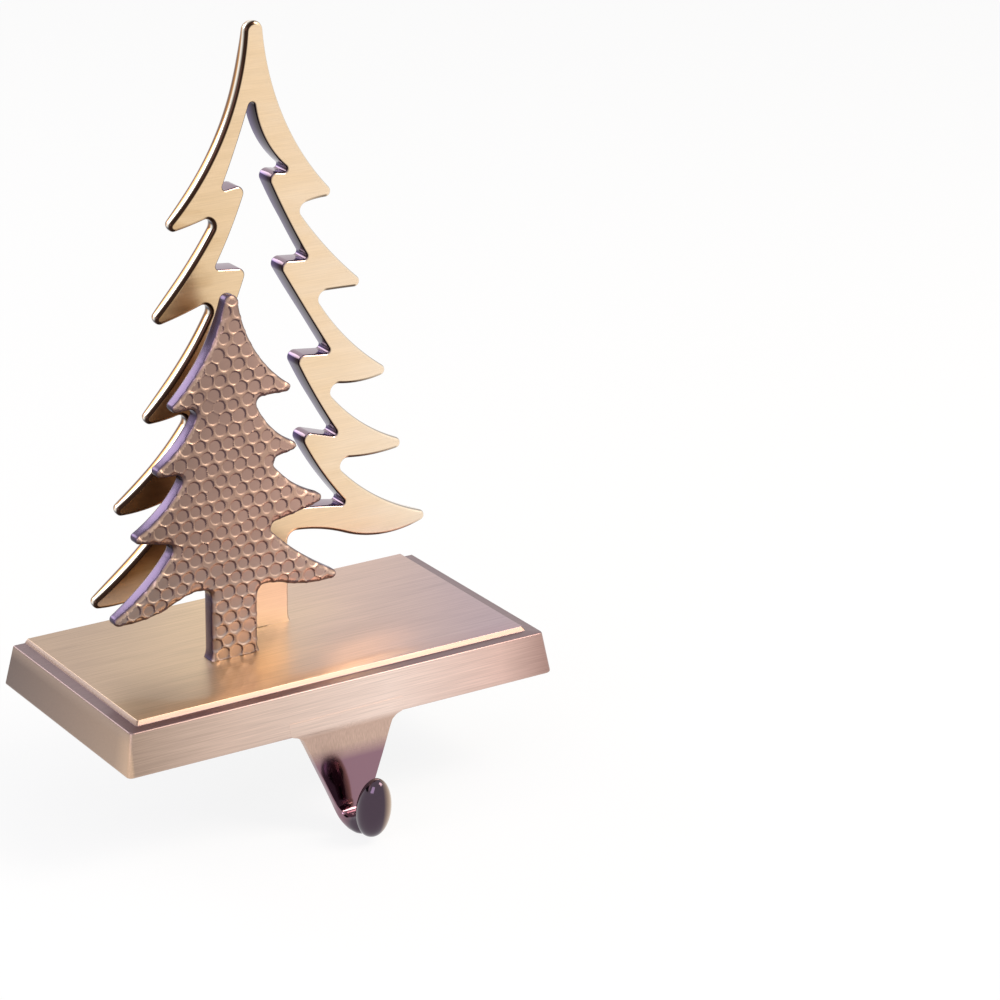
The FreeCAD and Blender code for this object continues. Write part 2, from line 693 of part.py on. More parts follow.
def tree_screws():
    """Two cap screws, each from its counterbore up into a trunk, as one group of solids."""
    head, thread = size("screw_head") / 2, size("screw_thread") / 2
    high, socket = size("screw_head_height"), size("socket_width") / 2
    solids = []
    for x, y in TRUNKS.values():
        seat = Vector(x, y, SCREW_SEAT)
        shank = Part.makeCylinder(thread, size("screw_grip") + size("screw_bite"), seat)
        cap = Part.makeCylinder(head, high, seat - Vector(0, 0, high))
        corners = [seat + Vector(socket * math.cos(math.radians(60 * k)) / math.cos(math.radians(30)),
                                 socket * math.sin(math.radians(60 * k)) / math.cos(math.radians(30)),
                                 -high) for k in range(7)]
        hexagon = Part.Face(Part.makePolygon(corners)).extrude(Vector(0, 0, size("socket_depth")))
        solids.append(cap.fuse(shank).removeSplitter().cut(hexagon).Solids[0])
    screws = doc.addObject("Part::Feature", "tree_screws")
    screws.Label = "tree_screws"
    screws.Shape = Part.makeCompound(solids)
    screws.Placement = Placement()
    return screws


def non_slip_pad():
    """Thin pad in its recess, standing a little proud of the metal."""
    body = new_body("non_slip_pad")
    gap = size("pad_margin") + size("pad_gap")
    outline = new_sketch(body, "pad_outline", "XY_Plane", Placement(),
                         round_rectangle(HALF_LENGTH - gap, HALF_DEPTH - gap, size("pad_corner")))
    add_feature(body, "Pad", "pad_sheet", Profile=outline, Length="=sizes.pad_thickness")
    return body


def check_document():
    """Stops the build if any object of the document has failed."""
    for thing in doc.Objects:
        bad = [state for state in thing.State if state in ("Invalid", "Error")]
        if bad:
            raise RuntimeError("%s is %s" % (thing.Name, ", ".join(bad)))


def export(pieces):
    """Checks each piece and writes it to its own file."""
    os.makedirs("parts", exist_ok=True)
    for piece in pieces:
        shape = piece.Shape
        if shape.isNull() or not shape.isValid():
            raise RuntimeError("%s has no valid shape" % piece.Label)
        shape.exportStep("parts/%s.step" % piece.Label)
        print("%s: %d solid(s), %.0f mm3" % (piece.Label, len(shape.Solids), shape.Volume))


pieces = [base_with_hook(), back_tree(), front_tree(), tree_screws(), non_slip_pad()]
doc.recompute()
check_document()
export(pieces)
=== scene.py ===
"""Looks of the mantel stocking holder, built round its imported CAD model.

The two trees, the plinth and the hook are rebuilt as smooth surfaces in the place of their CAD solids. The
screws and the pad keep their CAD meshes and get their finishes. Outlines are in millimetres, with u to the
right of a tree's trunk and v up from its foot, and become metres in the meshes.
"""
import logging
import math
from collections.abc import Callable
from dataclasses import dataclass, field
from enum import Enum

import bmesh
import bpy
import numpy as np
from mathutils import Matrix, Vector
from mathutils.geometry import delaunay_2d_cdt


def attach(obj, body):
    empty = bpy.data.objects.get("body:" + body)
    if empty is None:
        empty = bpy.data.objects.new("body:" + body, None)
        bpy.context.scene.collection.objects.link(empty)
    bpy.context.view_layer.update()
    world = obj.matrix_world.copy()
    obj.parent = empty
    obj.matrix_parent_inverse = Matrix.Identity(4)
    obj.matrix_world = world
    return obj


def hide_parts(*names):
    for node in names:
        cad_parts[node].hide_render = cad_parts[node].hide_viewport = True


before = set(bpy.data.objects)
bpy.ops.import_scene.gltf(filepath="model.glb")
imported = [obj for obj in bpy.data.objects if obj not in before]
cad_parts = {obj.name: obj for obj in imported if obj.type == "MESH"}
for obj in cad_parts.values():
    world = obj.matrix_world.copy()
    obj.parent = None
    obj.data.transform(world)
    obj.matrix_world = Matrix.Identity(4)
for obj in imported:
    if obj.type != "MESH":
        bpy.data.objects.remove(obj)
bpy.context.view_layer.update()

log = logging.getLogger("stocking_holder")
MM = 0.001
# Distance between the points of a run, and how much of a run can take part in rounding its corner
FINE = 0.02
CORNER_REACH = 14
# Height of the panel that the trees stand on, and place y of the small tree's face
SEAT = 12.85
SMALL_TREE_FACE = -6.6
# Rows of a triangular net are this share of its pitch apart
NET_ROW = 0.87
# Points nearer than this are one: in millimetres along a line and in a cap, and in metres in a mesh
SAME_POINT = 1e-9
SAME_CAP_POINT = 1e-7
SAME_VERTEX = 2e-6
# Least squared distance to a line that is reckoned with
LEAST_SQUARE = 1e-4


class Slot(Enum):
    """Names of three material slots for the rebuilt pieces; nothing in this script reads them."""

    ANTIQUE_BRASS = "antique_brass"
    BRUSHED_BRASS = "brushed_brass"
    HAMMERED_BRASS = "hammered_brass"


# Lines in the plane of a tree

def circle_through(a: np.ndarray, b: np.ndarray, c: np.ndarray) -> tuple[np.ndarray, float]:
    """Centre and radius of the circle through three points, from the two equal-distance equations.

    Args:
        a: First point (u, v).
        b: Second point.
        c: Third point.

    Returns:
        The centre and the radius.
    """
    rows = 2 * np.array([b - a, c - a])
    centre = np.linalg.solve(rows, [b @ b - a @ a, c @ c - a @ a])
    return centre, float(np.linalg.norm(a - centre))


def arc_run(start: tuple, middle: tuple, end: tuple) -> np.ndarray:
    """Points along an arc: centre plus radius times (cos, sin) of an angle that sweeps past the middle.

    Args:
        start: Where the arc starts (u, v).
        middle: A point on the way.
        end: Where it ends.

    Returns:
        Points FINE apart, one row each.
    """
    a, m, b = (np.array(p, float) for p in (start, middle, end))
    centre, radius = circle_through(a, m, b)
    first, via, last = (math.atan2(*(p - centre)[::-1]) for p in (a, m, b))
    sweep = (last - first) % math.tau
    if (via - first) % math.tau > sweep:
        sweep -= math.tau
    count = max(3, int(abs(sweep) * radius / FINE) + 1)
    turns = first + sweep * np.linspace(0, 1, count)
    return centre + radius * np.stack([np.cos(turns), np.sin(turns)], -1)


def line_run(start: tuple, end: tuple) -> np.ndarray:
    """Points FINE apart along a straight line.

    Args:
        start: Where the line starts (u, v).
        end: Where it ends.

    Returns:
        Points, one row each.
    """
    a, b = np.array(start, float), np.array(end, float)
    count = max(3, int(np.linalg.norm(b - a) / FINE) + 1)
    return a + (b - a) * np.linspace(0, 1, count)[:, None]


def onward_run(previous: np.ndarray, end: tuple) -> np.ndarray:
    """Arc that carries a run on without a corner: its centre lies on the normal at the run's last point.

    Args:
        previous: The run before it.
        end: Where the arc ends (u, v).

    Returns:
        Points along the arc.
    """
    start, target = previous[-1], np.array(end, float)
    along = start - previous[-2]
    normal = np.array([-along[1], along[0]]) / np.linalg.norm(along)
    chord = target - start
    radius = chord @ chord / (2 * chord @ normal)
    centre = start + normal * radius
    aside = (start + target) / 2 - centre
    return arc_run(start, centre + aside / np.linalg.norm(aside) * abs(radius), target)


def left_normals(points: np.ndarray, closed: bool = False) -> np.ndarray:
    """Unit normals to the left of a line of points, from central differences turned a quarter.

    Args:
        points: The line, one row each.
        closed: Whether its end joins its start.

    Returns:
        One normal a point.
    """
    if closed:
        along = np.roll(points, -1, 0) - np.roll(points, 1, 0)
    else:
        along = np.gradient(points, axis=0)
    normals = np.stack([-along[:, 1], along[:, 0]], -1)
    return normals / np.linalg.norm(normals, axis=1, keepdims=True)


def round_corner(first: np.ndarray, second: np.ndarray, radius: float) -> tuple:
    """Rounds the corner between two runs with the circle that touches both.

    Each run moved sideways by the radius is a line of places for the centre. The centre is where the two
    such lines cross.

    Args:
        first: Run that ends at the corner.
        second: Run that starts there.
        radius: Radius of the rounding.

    Returns:
        The first run cut short, the arc, and the second run cut short.
    """
    reach = int(CORNER_REACH / FINE)
    a, b = first[-reach:], second[:reach]
    before, after = a[-1] - a[-2], b[1] - b[0]
    turn = math.copysign(1, before[0] * after[1] - before[1] * after[0])
    centres_a = a + left_normals(a) * turn * radius
    centres_b = b + left_normals(b) * turn * radius
    apart = ((centres_a[:, None] - centres_b[None]) ** 2).sum(-1)
    i, j = np.unravel_index(apart.argmin(), apart.shape)
    centre = (centres_a[i] + centres_b[j]) / 2
    middle = centre + (a[-1] - centre) / np.linalg.norm(a[-1] - centre) * radius
    return first[:len(first) - len(a) + i + 1], arc_run(a[i], middle, b[j]), second[j:]


def joined(runs: list, radii: list, closed: bool, step: float) -> np.ndarray:
    """One even line through all runs, with the corner after each run rounded by its radius.

    Args:
        runs: Runs in order.
        radii: Radius of the corner after each run, 0 to leave it.
        closed: Whether the last run meets the first.
        step: Distance between the points of the result.

    Returns:
        Points, one row each.
    """
    runs = list(runs)
    arcs = {}
    for i, radius in enumerate(radii):
        k = (i + 1) % len(runs)
        if radius > 0:
            runs[i], arcs[i], runs[k] = round_corner(runs[i], runs[k], radius)
    parts = [part for i, run in enumerate(runs) for part in (run, arcs.get(i)) if part is not None]
    line = np.concatenate(parts)
    if closed:
        line = np.concatenate([line, line[:1]])
    gaps = np.linalg.norm(np.diff(line, axis=0), axis=1)
    line = line[np.concatenate([[True], gaps > SAME_POINT])]
    along = np.concatenate([[0], np.cumsum(np.linalg.norm(np.diff(line, axis=0), axis=1))])
    count = int(along[-1] / step) + 1
    at = np.linspace(0, along[-1], count)
    even = np.stack([np.interp(at, along, line[:, k]) for k in (0, 1)], -1)
    return even[:-1] if closed else even


def chunks(count: int, size: int) -> list[np.ndarray]:
    """Numbers from 0 to count - 1 in parts of about the given size, which keeps large tables in memory.

    Args:
        count: How many numbers.
        size: About how many in a part.

    Returns:
        The parts in order.
    """
    return np.array_split(np.arange(count), max(1, count // size))


def inside(points: np.ndarray, loop: np.ndarray) -> np.ndarray:
    """Which points lie in a closed loop, by counting the edges that a ray to the right crosses.

    Args:
        points: Points to test.
        loop: The loop's points in order.

    Returns:
        True for each point inside.
    """
    u0, v0 = loop.T
    u1, v1 = np.roll(loop, -1, 0).T
    result = np.zeros(len(points), bool)
    for part in chunks(len(points), 2000):
        u, v = points[part, 0, None], points[part, 1, None]
        spans = (v0 > v) != (v1 > v)
        rise = np.where(v1 == v0, 1, v1 - v0)
        crosses = spans & (u < u0 + (v - v0) * (u1 - u0) / rise)
        result[part] = crosses.sum(1) % 2 == 1
    return result


def soft_distance(points: np.ndarray, line: np.ndarray) -> np.ndarray:
    """Distance to a line that stays smooth midway between two edges.

    It is (pi / (2 S)) ** (1 / 3), where S is the sum of length / distance ** 4 over the line. Beside one long
    straight edge that is the plain distance, and between two edges or at a point it is less.

    Args:
        points: Points (u, v).
        line: Points along the line, in order.

    Returns:
        One distance a point.
    """
    steps = np.linalg.norm(np.diff(line, axis=0), axis=1)
    middles = (line[1:] + line[:-1]) / 2
    result = np.zeros(len(points))
    for part in chunks(len(points), 400):
        apart = ((points[part, None] - middles[None]) ** 2).sum(-1)
        result[part] = (math.pi / 2 / (steps / np.maximum(apart, LEAST_SQUARE) ** 2).sum(1)) ** (1 / 3)
    return result


def net(low: tuple, high: tuple, pitch: float) -> np.ndarray:
    """Points of a triangular net that fills a box.

    Args:
        low: Lowest u and v.
        high: Highest u and v.
        pitch: Distance between neighbours.

    Returns:
        Points (u, v).
    """
    u, v = np.meshgrid(np.arange(low[0], high[0], pitch), np.arange(low[1], high[1], pitch * NET_ROW))
    u = u + (np.arange(u.shape[0]) % 2)[:, None] * pitch / 2
    return np.stack([u, v], -1).reshape(-1, 2)


# Meshes

class Shell:
    """Grows a mesh of one or more closed skins out of grids of points and flat or dished caps."""

    def __init__(self) -> None:
        """Starts with no points and no faces."""
        self.points: list[np.ndarray] = []
        self.marks: list[np.ndarray] = []
        self.faces: list[list[int]] = []
        self.count = 0

    def add_points(self, points: np.ndarray, marks: np.ndarray | None = None) -> int:
        """Adds points and returns the number of the first.

        Args:
            points: Points (x, y, z) in millimetres.
            marks: Values "wall", "lift" and "side" of each point, 0 where they aren't given.

        Returns:
            Index of the first one.
        """
        first = self.count
        self.points.append(points)
        self.marks.append(np.zeros((len(points), 3)) if marks is None else marks)
        self.count += len(points)
        return first

    def add_grid(self, grid: np.ndarray, closed: bool, marks: np.ndarray | None = None) -> None:
        """Adds the quads between the rows and columns of a grid of points.

        Args:
            grid: Points as rows x columns x 3.
            closed: Whether the last column joins the first.
            marks: Values "wall", "lift" and "side" as rows x columns x 3.
        """
        rows, columns = grid.shape[:2]
        flat = None if marks is None else marks.reshape(-1, 3)
        number = np.arange(rows * columns).reshape(rows, columns) + self.add_points(grid.reshape(-1, 3), flat)
        if closed:
            number = np.concatenate([number, number[:, :1]], 1)
        quads = np.stack([number[:-1, :-1], number[:-1, 1:], number[1:, 1:], number[1:, :-1]], -1)
        self.faces += quads.reshape(-1, 4).tolist()

    def add_cap(self, loops: list, depth: Callable[[np.ndarray], np.ndarray],
                fill: np.ndarray | None = None, wall: float = 0.0,
                lean: Callable[[np.ndarray], np.ndarray] = lambda p: np.zeros(len(p)),
                level: bool = False) -> None:
        """Adds triangles that fill the first loop around the others.

        Args:
            loops: The outer loop and then the holes, each as points (u, v).
            depth: Gives y for an array of points (u, v).
            fill: Further points inside.
            wall: Mark "wall" of all its points.
            lean: Gives the mark "lift" for an array of points (u, v).
            level: Whether the cap lies level, with the points as (x, y) and the depth as z.
        """
        starts = np.cumsum([0] + [len(loop) for loop in loops])
        edges = [(int(s + i), int(s + (i + 1) % len(loop)))
                 for s, loop in zip(starts, loops) for i in range(len(loop))]
        flat = np.concatenate(list(loops) + ([] if fill is None else [fill]))
        found = delaunay_2d_cdt([Vector(p) for p in flat.tolist()], edges, [], 0, SAME_CAP_POINT)
        places = np.array([(p.x, p.y) for p in found[0]])
        triangles = np.array(found[2])
        middles = places[triangles].mean(1)
        kept = inside(middles, loops[0])
        for hole in loops[1:]:
            kept &= ~inside(middles, hole)
        solid = np.stack([places[:, 0], depth(places), places[:, 1]], -1)
        if level:
            solid = solid[:, [0, 2, 1]]
        marks = np.column_stack([np.full(len(solid), wall), lean(places), np.zeros(len(solid))])
        self.faces += (triangles[kept] + self.add_points(solid, marks)).tolist()

    def add_face(self, points: np.ndarray) -> None:
        """Adds one face through the given points.

        Args:
            points: Corners (x, y, z) in order.
        """
        first = self.add_points(points)
        self.faces.append(list(range(first, first + len(points))))

    def build(self, name: str, move: tuple, sharp: float) -> bpy.types.Object:
        """Makes the object, with its doubles merged, its faces outwards and its hard edges marked.

        Args:
            name: Name of the object.
            move: Shift (x, y, z) in millimetres, put into the mesh.
            sharp: Degrees above which an edge is shaded as hard.

        Returns:
            The object, linked to the scene.
        """
        mesh = bpy.data.meshes.new(name)
        points = (np.concatenate(self.points) + np.array(move)) * MM
        mesh.from_pydata(points.tolist(), [], self.faces)
        marks = np.concatenate(self.marks)
        for i, label in enumerate(("wall", "lift", "side")):
            mesh.attributes.new(label, "FLOAT", "POINT").data.foreach_set("value", marks[:, i].copy())
        work = bmesh.new()
        work.from_mesh(mesh)
        bmesh.ops.remove_doubles(work, verts=work.verts, dist=SAME_VERTEX)
        bmesh.ops.recalc_face_normals(work, faces=work.faces)
        loose = [v for v in work.verts if not v.link_faces]
        bmesh.ops.delete(work, geom=loose, context="VERTS")
        work.to_mesh(mesh)
        work.free()
        mesh.polygons.foreach_set("use_smooth", np.ones(len(mesh.polygons), bool))
        mesh.set_sharp_from_angle(angle=math.radians(sharp))
        thing = bpy.data.objects.new(name, mesh)
        bpy.context.scene.collection.objects.link(thing)
        return thing


def quarter(radius: float, depth: float, rear: bool, parts: int = 7) -> np.ndarray:
    """Quarter round of a rim as (inset, depth): inset r - r sin t and depth r - r cos t, t from 0 to 90.

    Args:
        radius: Radius of the round.
        depth: Depth of the face that it ends in.
        rear: Whether that face is the rear one.
        parts: Number of steps.

    Returns:
        Points from the front to the rear.
    """
    t = np.linspace(0, math.pi / 2, parts + 1)
    inset, sink = radius * (1 - np.sin(t)), radius * (1 - np.cos(t))
    points = np.stack([inset, sink], -1)
    return np.stack([points[::-1, 0], depth - points[::-1, 1]], -1) if rear else points + [0, depth]


def carried(line: np.ndarray, normals: np.ndarray, profile: np.ndarray) -> np.ndarray:
    """Profile of (inset, depth) carried along a line: line minus normal times inset, at that depth.

    Args:
        line: Points (u, v).
        normals: Outward normal at each point.
        profile: Insets and depths.

    Returns:
        Grid with one row a profile point and one column a line point.
    """
    flat = line[None] - normals[None] * profile[:, 0, None, None]
    depth = np.broadcast_to(profile[:, 1, None], flat.shape[:2])
    return np.stack([flat[..., 0], depth, flat[..., 1]], -1)


def wall_marks(grid: np.ndarray, normals: np.ndarray, reach: float) -> np.ndarray:
    """Marks of a wall: "wall" is depth / reach up to 1, "lift" how far it faces up and "side" how far right.

    Args:
        grid: Points as rows x columns x 3.
        normals: Outward normal (u, v) of each column.
        reach: Depth at which the wall counts as fully a wall, below 0 for an opening.

    Returns:
        Marks as rows x columns x 3.
    """
    wall = math.copysign(1, reach) * np.clip(grid[..., 1] / abs(reach), 0, 1)
    up, right = (np.broadcast_to(normals[:, i], wall.shape) for i in (1, 0))
    return np.stack([wall, up, right], -1)


def ring_reach(insets: np.ndarray, last: np.ndarray, line: np.ndarray) -> np.ndarray:
    """Soft distance of rings close to a line: s (1 + (k - 1) s / s_last), with k taken on the last ring.

    Args:
        insets: Plain distance s of each ring.
        last: Points (u, v) of the last ring.
        line: The line.

    Returns:
        Distances as rings x points.
    """
    excess = soft_distance(last, line) / insets[-1] - 1
    return insets[:, None] * (1 + excess[None] * insets[:, None] / insets[-1])


@dataclass
class TreeShape:
    """Outline of a tree. Each side is a list of boughs from the top down.

    A bough is the middle of its upper edge, its point, the middle of its under edge and the notch under it.
    The lowest bough has an elbow in place of the notch and then the height at which it meets the trunk.
    """

    apex: tuple
    apex_radius: float
    right: list
    left: list
    tip_round: float
    notch_round: float
    thickness: float
    crown: float
    taper: float
    taper_reach: float = 7.0
    trunk_width: float = 13.2
    foot_flare: float = 0.6
    foot_height: float = 2.6
    crotch_round: float = 2.4
    step: float = 0.33
    settling_turns: int = 30

    def side(self, boughs: list, sign: int) -> tuple[list, list]:
        """Runs and corner radii of one side, from the crown's shoulder down to the toe.

        Args:
            boughs: The side's boughs.
            sign: 1 for the right side, -1 for the left.

        Returns:
            The runs, and the radius of the corner after each.
        """
        centre = np.array(self.apex, float) - [0, self.apex_radius]
        start = centre + [sign * self.apex_radius, 0]
        upper, tip = (np.array(p, float) for p in boughs[0][:2])
        # Each turn brings the start nearer to where the bough's arc leaves the crown's round without a corner
        for _ in range(self.settling_turns):
            hub, _ = circle_through(start, upper, tip)
            start = centre + (hub - centre) / np.linalg.norm(hub - centre) * self.apex_radius
        runs, radii = [], []
        half = sign * self.trunk_width / 2
        for upper, tip, under, notch, *crotch in boughs:
            runs += [arc_run(start, upper, tip), arc_run(tip, under, notch)]
            radii += [self.tip_round, 0 if crotch else self.notch_round]
            start = notch
            if crotch:
                runs.append(onward_run(runs[-1], (half, crotch[0])))
                radii.append(self.crotch_round)
                runs.append(line_run((half, crotch[0]), (half, self.foot_height)))
                radii.append(0)
        sweep = (self.foot_flare ** 2 + self.foot_height ** 2) / (2 * self.foot_flare)
        ankle, toe = np.array([half, self.foot_height]), np.array([half + sign * self.foot_flare, 0])
        hub = ankle + [sign * sweep, 0]
        aside = (ankle + toe) / 2 - hub
        runs.append(arc_run(ankle, hub + aside / np.linalg.norm(aside) * sweep, toe))
        radii.append(0)
        return runs, radii

    def line(self) -> np.ndarray:
        """Outline from the left toe over the crown to the right toe, with its corners rounded."""
        right, right_radii = self.side(self.right, 1)
        left, left_radii = self.side(self.left, -1)
        up = [run[::-1] for run in left[::-1]]
        crown = arc_run(left[0][0], self.apex, right[0][0])
        radii = left_radii[-2::-1] + [0, 0] + right_radii[:-1]
        return joined(up + [crown] + right, radii, False, self.step)

    def back(self, points: np.ndarray, reach: np.ndarray) -> np.ndarray:
        """Depth of the crowned back, which is less at the points.

        It is thickness - crown + crown sqrt(1 - exp(-2 s / crown)). At distance d from the nearest point or
        the apex, taper exp(-(d / taper_reach) ** 2) comes off.

        Args:
            points: Points (u, v).
            reach: Soft distance s of each from the outline.

        Returns:
            One depth a point.
        """
        tips = np.array([self.apex] + [bough[1] for bough in self.right + self.left])
        away = ((points[..., None, :] - tips) ** 2).sum(-1).min(-1)
        crowned = self.thickness - self.crown + self.crown * np.sqrt(1 - np.exp(-2 * reach / self.crown))
        return crowned - self.taper * np.exp(-away / self.taper_reach ** 2)


@dataclass
class Opening:
    """Opening of the tall tree: down each side the middle of an edge, the notch at its foot and the tooth."""

    top: tuple
    right: list
    left: list
    crest: tuple
    notch_round: float = 0.9
    tooth_round: float = 1.9
    step: float = 0.16

    def loop(self) -> np.ndarray:
        """Closed loop against the clock, with its corners rounded."""
        sides = []
        for steps in (self.right, self.left):
            runs = []
            corner = self.top
            for middle, notch, *tooth in steps:
                runs.append(arc_run(corner, middle, notch))
                if tooth:
                    runs.append(line_run(notch, tooth[0]))
                    corner = tooth[0]
            sides.append(runs)
        floor = arc_run(self.left[-1][1], self.crest, self.right[-1][1])
        runs = sides[1] + [floor] + [run[::-1] for run in sides[0][::-1]]
        down = [self.notch_round, self.tooth_round] * (len(sides[0]) // 2)
        radii = down + [self.notch_round] * 2 + down[::-1] + [self.notch_round]
        return joined(runs, radii, True, self.step)


BACK_SHAPE = TreeShape(
    apex=(-2.1, 160.35), apex_radius=2.6,
    right=[
        [(7.7, 132.2), (22.0, 112.6), (15.2, 112.7), (9.6, 111.5)],
        [(18.2, 100.2), (31.0, 87.6), (22.8, 88.0), (14.6, 88.2)],
        [(22.7, 76.7), (38.0, 63.5), (28.5, 61.9), (16.4, 64.2)],
        [(27.1, 52.3), (44.8, 42.6), (32.4, 41.1), (19.2, 42.8)],
        [(34.5, 28.9), (51.4, 21.4), (38.8, 18.2), (23.8, 20.9), 24.7],
    ],
    left=[
        [(-14.0, 128.2), (-29.7, 109.5), (-20.6, 111.0), (-11.6, 113.6)],
        [(-23.8, 96.6), (-34.1, 86.0), (-23.6, 88.3), (-13.2, 91.8)],
        [(-23.5, 75.2), (-36.5, 61.6), (-28.0, 61.8), (-19.8, 63.9)],
        [(-31.7, 49.5), (-46.0, 39.2), (-35.2, 38.9), (-22.4, 42.6)],
        [(-35.9, 28.1), (-52.5, 15.8), (-42.2, 14.9), (-27.6, 19.1), 24.6],
    ],
    tip_round=1.5, notch_round=2.0, thickness=6.5, crown=4.4, taper=1.0,
)
BACK_OPENING = Opening(
    top=(-2.3, 144.1),
    right=[
        [(1.2, 129.4), (9.4, 120.4), (0.8, 121.9)],
        [(6.2, 110.4), (13.4, 97.3), (3.7, 98.2)],
        [(10.8, 86.2), (20.0, 71.2), (8.6, 72.5)],
        [(15.0, 60.1), (22.6, 47.9), (9.6, 51.9)],
        [(16.7, 39.3), (25.2, 28.4)],
    ],
    left=[
        [(-7.3, 130.0), (-12.1, 118.6), (-4.5, 119.8)],
        [(-8.7, 109.4), (-14.2, 98.9), (-4.8, 97.9)],
        [(-10.0, 85.1), (-17.3, 72.4), (-5.8, 72.6)],
        [(-13.3, 60.7), (-21.5, 48.6), (-8.4, 50.1)],
        [(-16.3, 39.5), (-24.7, 28.6)],
    ],
    crest=(-0.2, 31.2),
)
FRONT_SHAPE = TreeShape(
    apex=(0.1, 96.2), apex_radius=2.0,
    right=[
        [(8.3, 78.6), (20.4, 68.0), (13.4, 68.4), (6.3, 68.2)],
        [(12.4, 58.6), (22.5, 52.9), (15.7, 52.2), (10.6, 50.9)],
        [(18.4, 43.0), (28.6, 38.1), (18.7, 35.5), (9.0, 33.8)],
        [(19.4, 24.2), (32.5, 15.8), (24.4, 15.1), (15.0, 16.8), 17.7],
    ],
    left=[
        [(-8.8, 78.8), (-19.6, 68.1), (-14.6, 68.4), (-9.2, 68.3)],
        [(-16.2, 58.0), (-24.6, 52.8), (-19.6, 52.2), (-13.2, 51.8)],
        [(-20.8, 42.1), (-31.0, 36.6), (-24.0, 35.3), (-16.2, 33.5)],
        [(-25.4, 23.1), (-36.8, 15.8), (-27.0, 15.2), (-16.0, 18.4), 19.3],
    ],
    tip_round=1.2, notch_round=1.8, thickness=5.4, crown=1.3, taper=0.9,
)


# Finishes

def linear(code: str) -> tuple:
    """Linear colour of an sRGB hex code.

    Args:
        code: Six hex digits after a #.

    Returns:
        Red, green, blue and an alpha of 1.
    """
    parts = [int(code[i:i + 2], 16) / 255 for i in (1, 3, 5)]
    return tuple(c / 12.92 if c <= 0.04045 else ((c + 0.055) / 1.055) ** 2.4 for c in parts) + (1.0,)


def add(tree: bpy.types.NodeTree, kind: str, inputs: dict | None = None, **settings) -> bpy.types.Node:
    """Adds a node with its settings, its values and the links that come into it.

    Args:
        tree: Node tree to add to.
        kind: Type name of the node.
        inputs: Socket name or number to a value or to a socket that feeds it.
        settings: Properties of the node.

    Returns:
        The node.
    """
    made = tree.nodes.new(kind)
    for name, value in settings.items():
        setattr(made, name, value)
    for key, value in (inputs or {}).items():
        if isinstance(value, bpy.types.NodeSocket):
            tree.links.new(value, made.inputs[key])
        else:
            made.inputs[key].default_value = value
    return made


def new_material(name: str) -> tuple[bpy.types.Material, bpy.types.NodeTree]:
    """Empty material with nodes.

    Args:
        name: Name of the finish.

    Returns:
        The material and its node tree.
    """
    material = bpy.data.materials.new(name)
    material.use_nodes = True
    material.node_tree.nodes.clear()
    return material, material.node_tree


def ramp_stops(node: bpy.types.Node, stops: list) -> None:
    """Sets a colour ramp's stops.

    Args:
        node: The ramp.
        stops: Position and hex colour of each stop, in order.
    """
    ramp = node.color_ramp
    while len(ramp.elements) < len(stops):
        ramp.elements.new(0.5)
    for element, (position, code) in zip(ramp.elements, stops):
        element.position = position
        element.color = linear(code)


# Sockets of a map range node, in the order of a row in a finish's table of shares
SHARE_SOCKETS = ("Value", "From Min", "From Max", "To Min", "To Max")


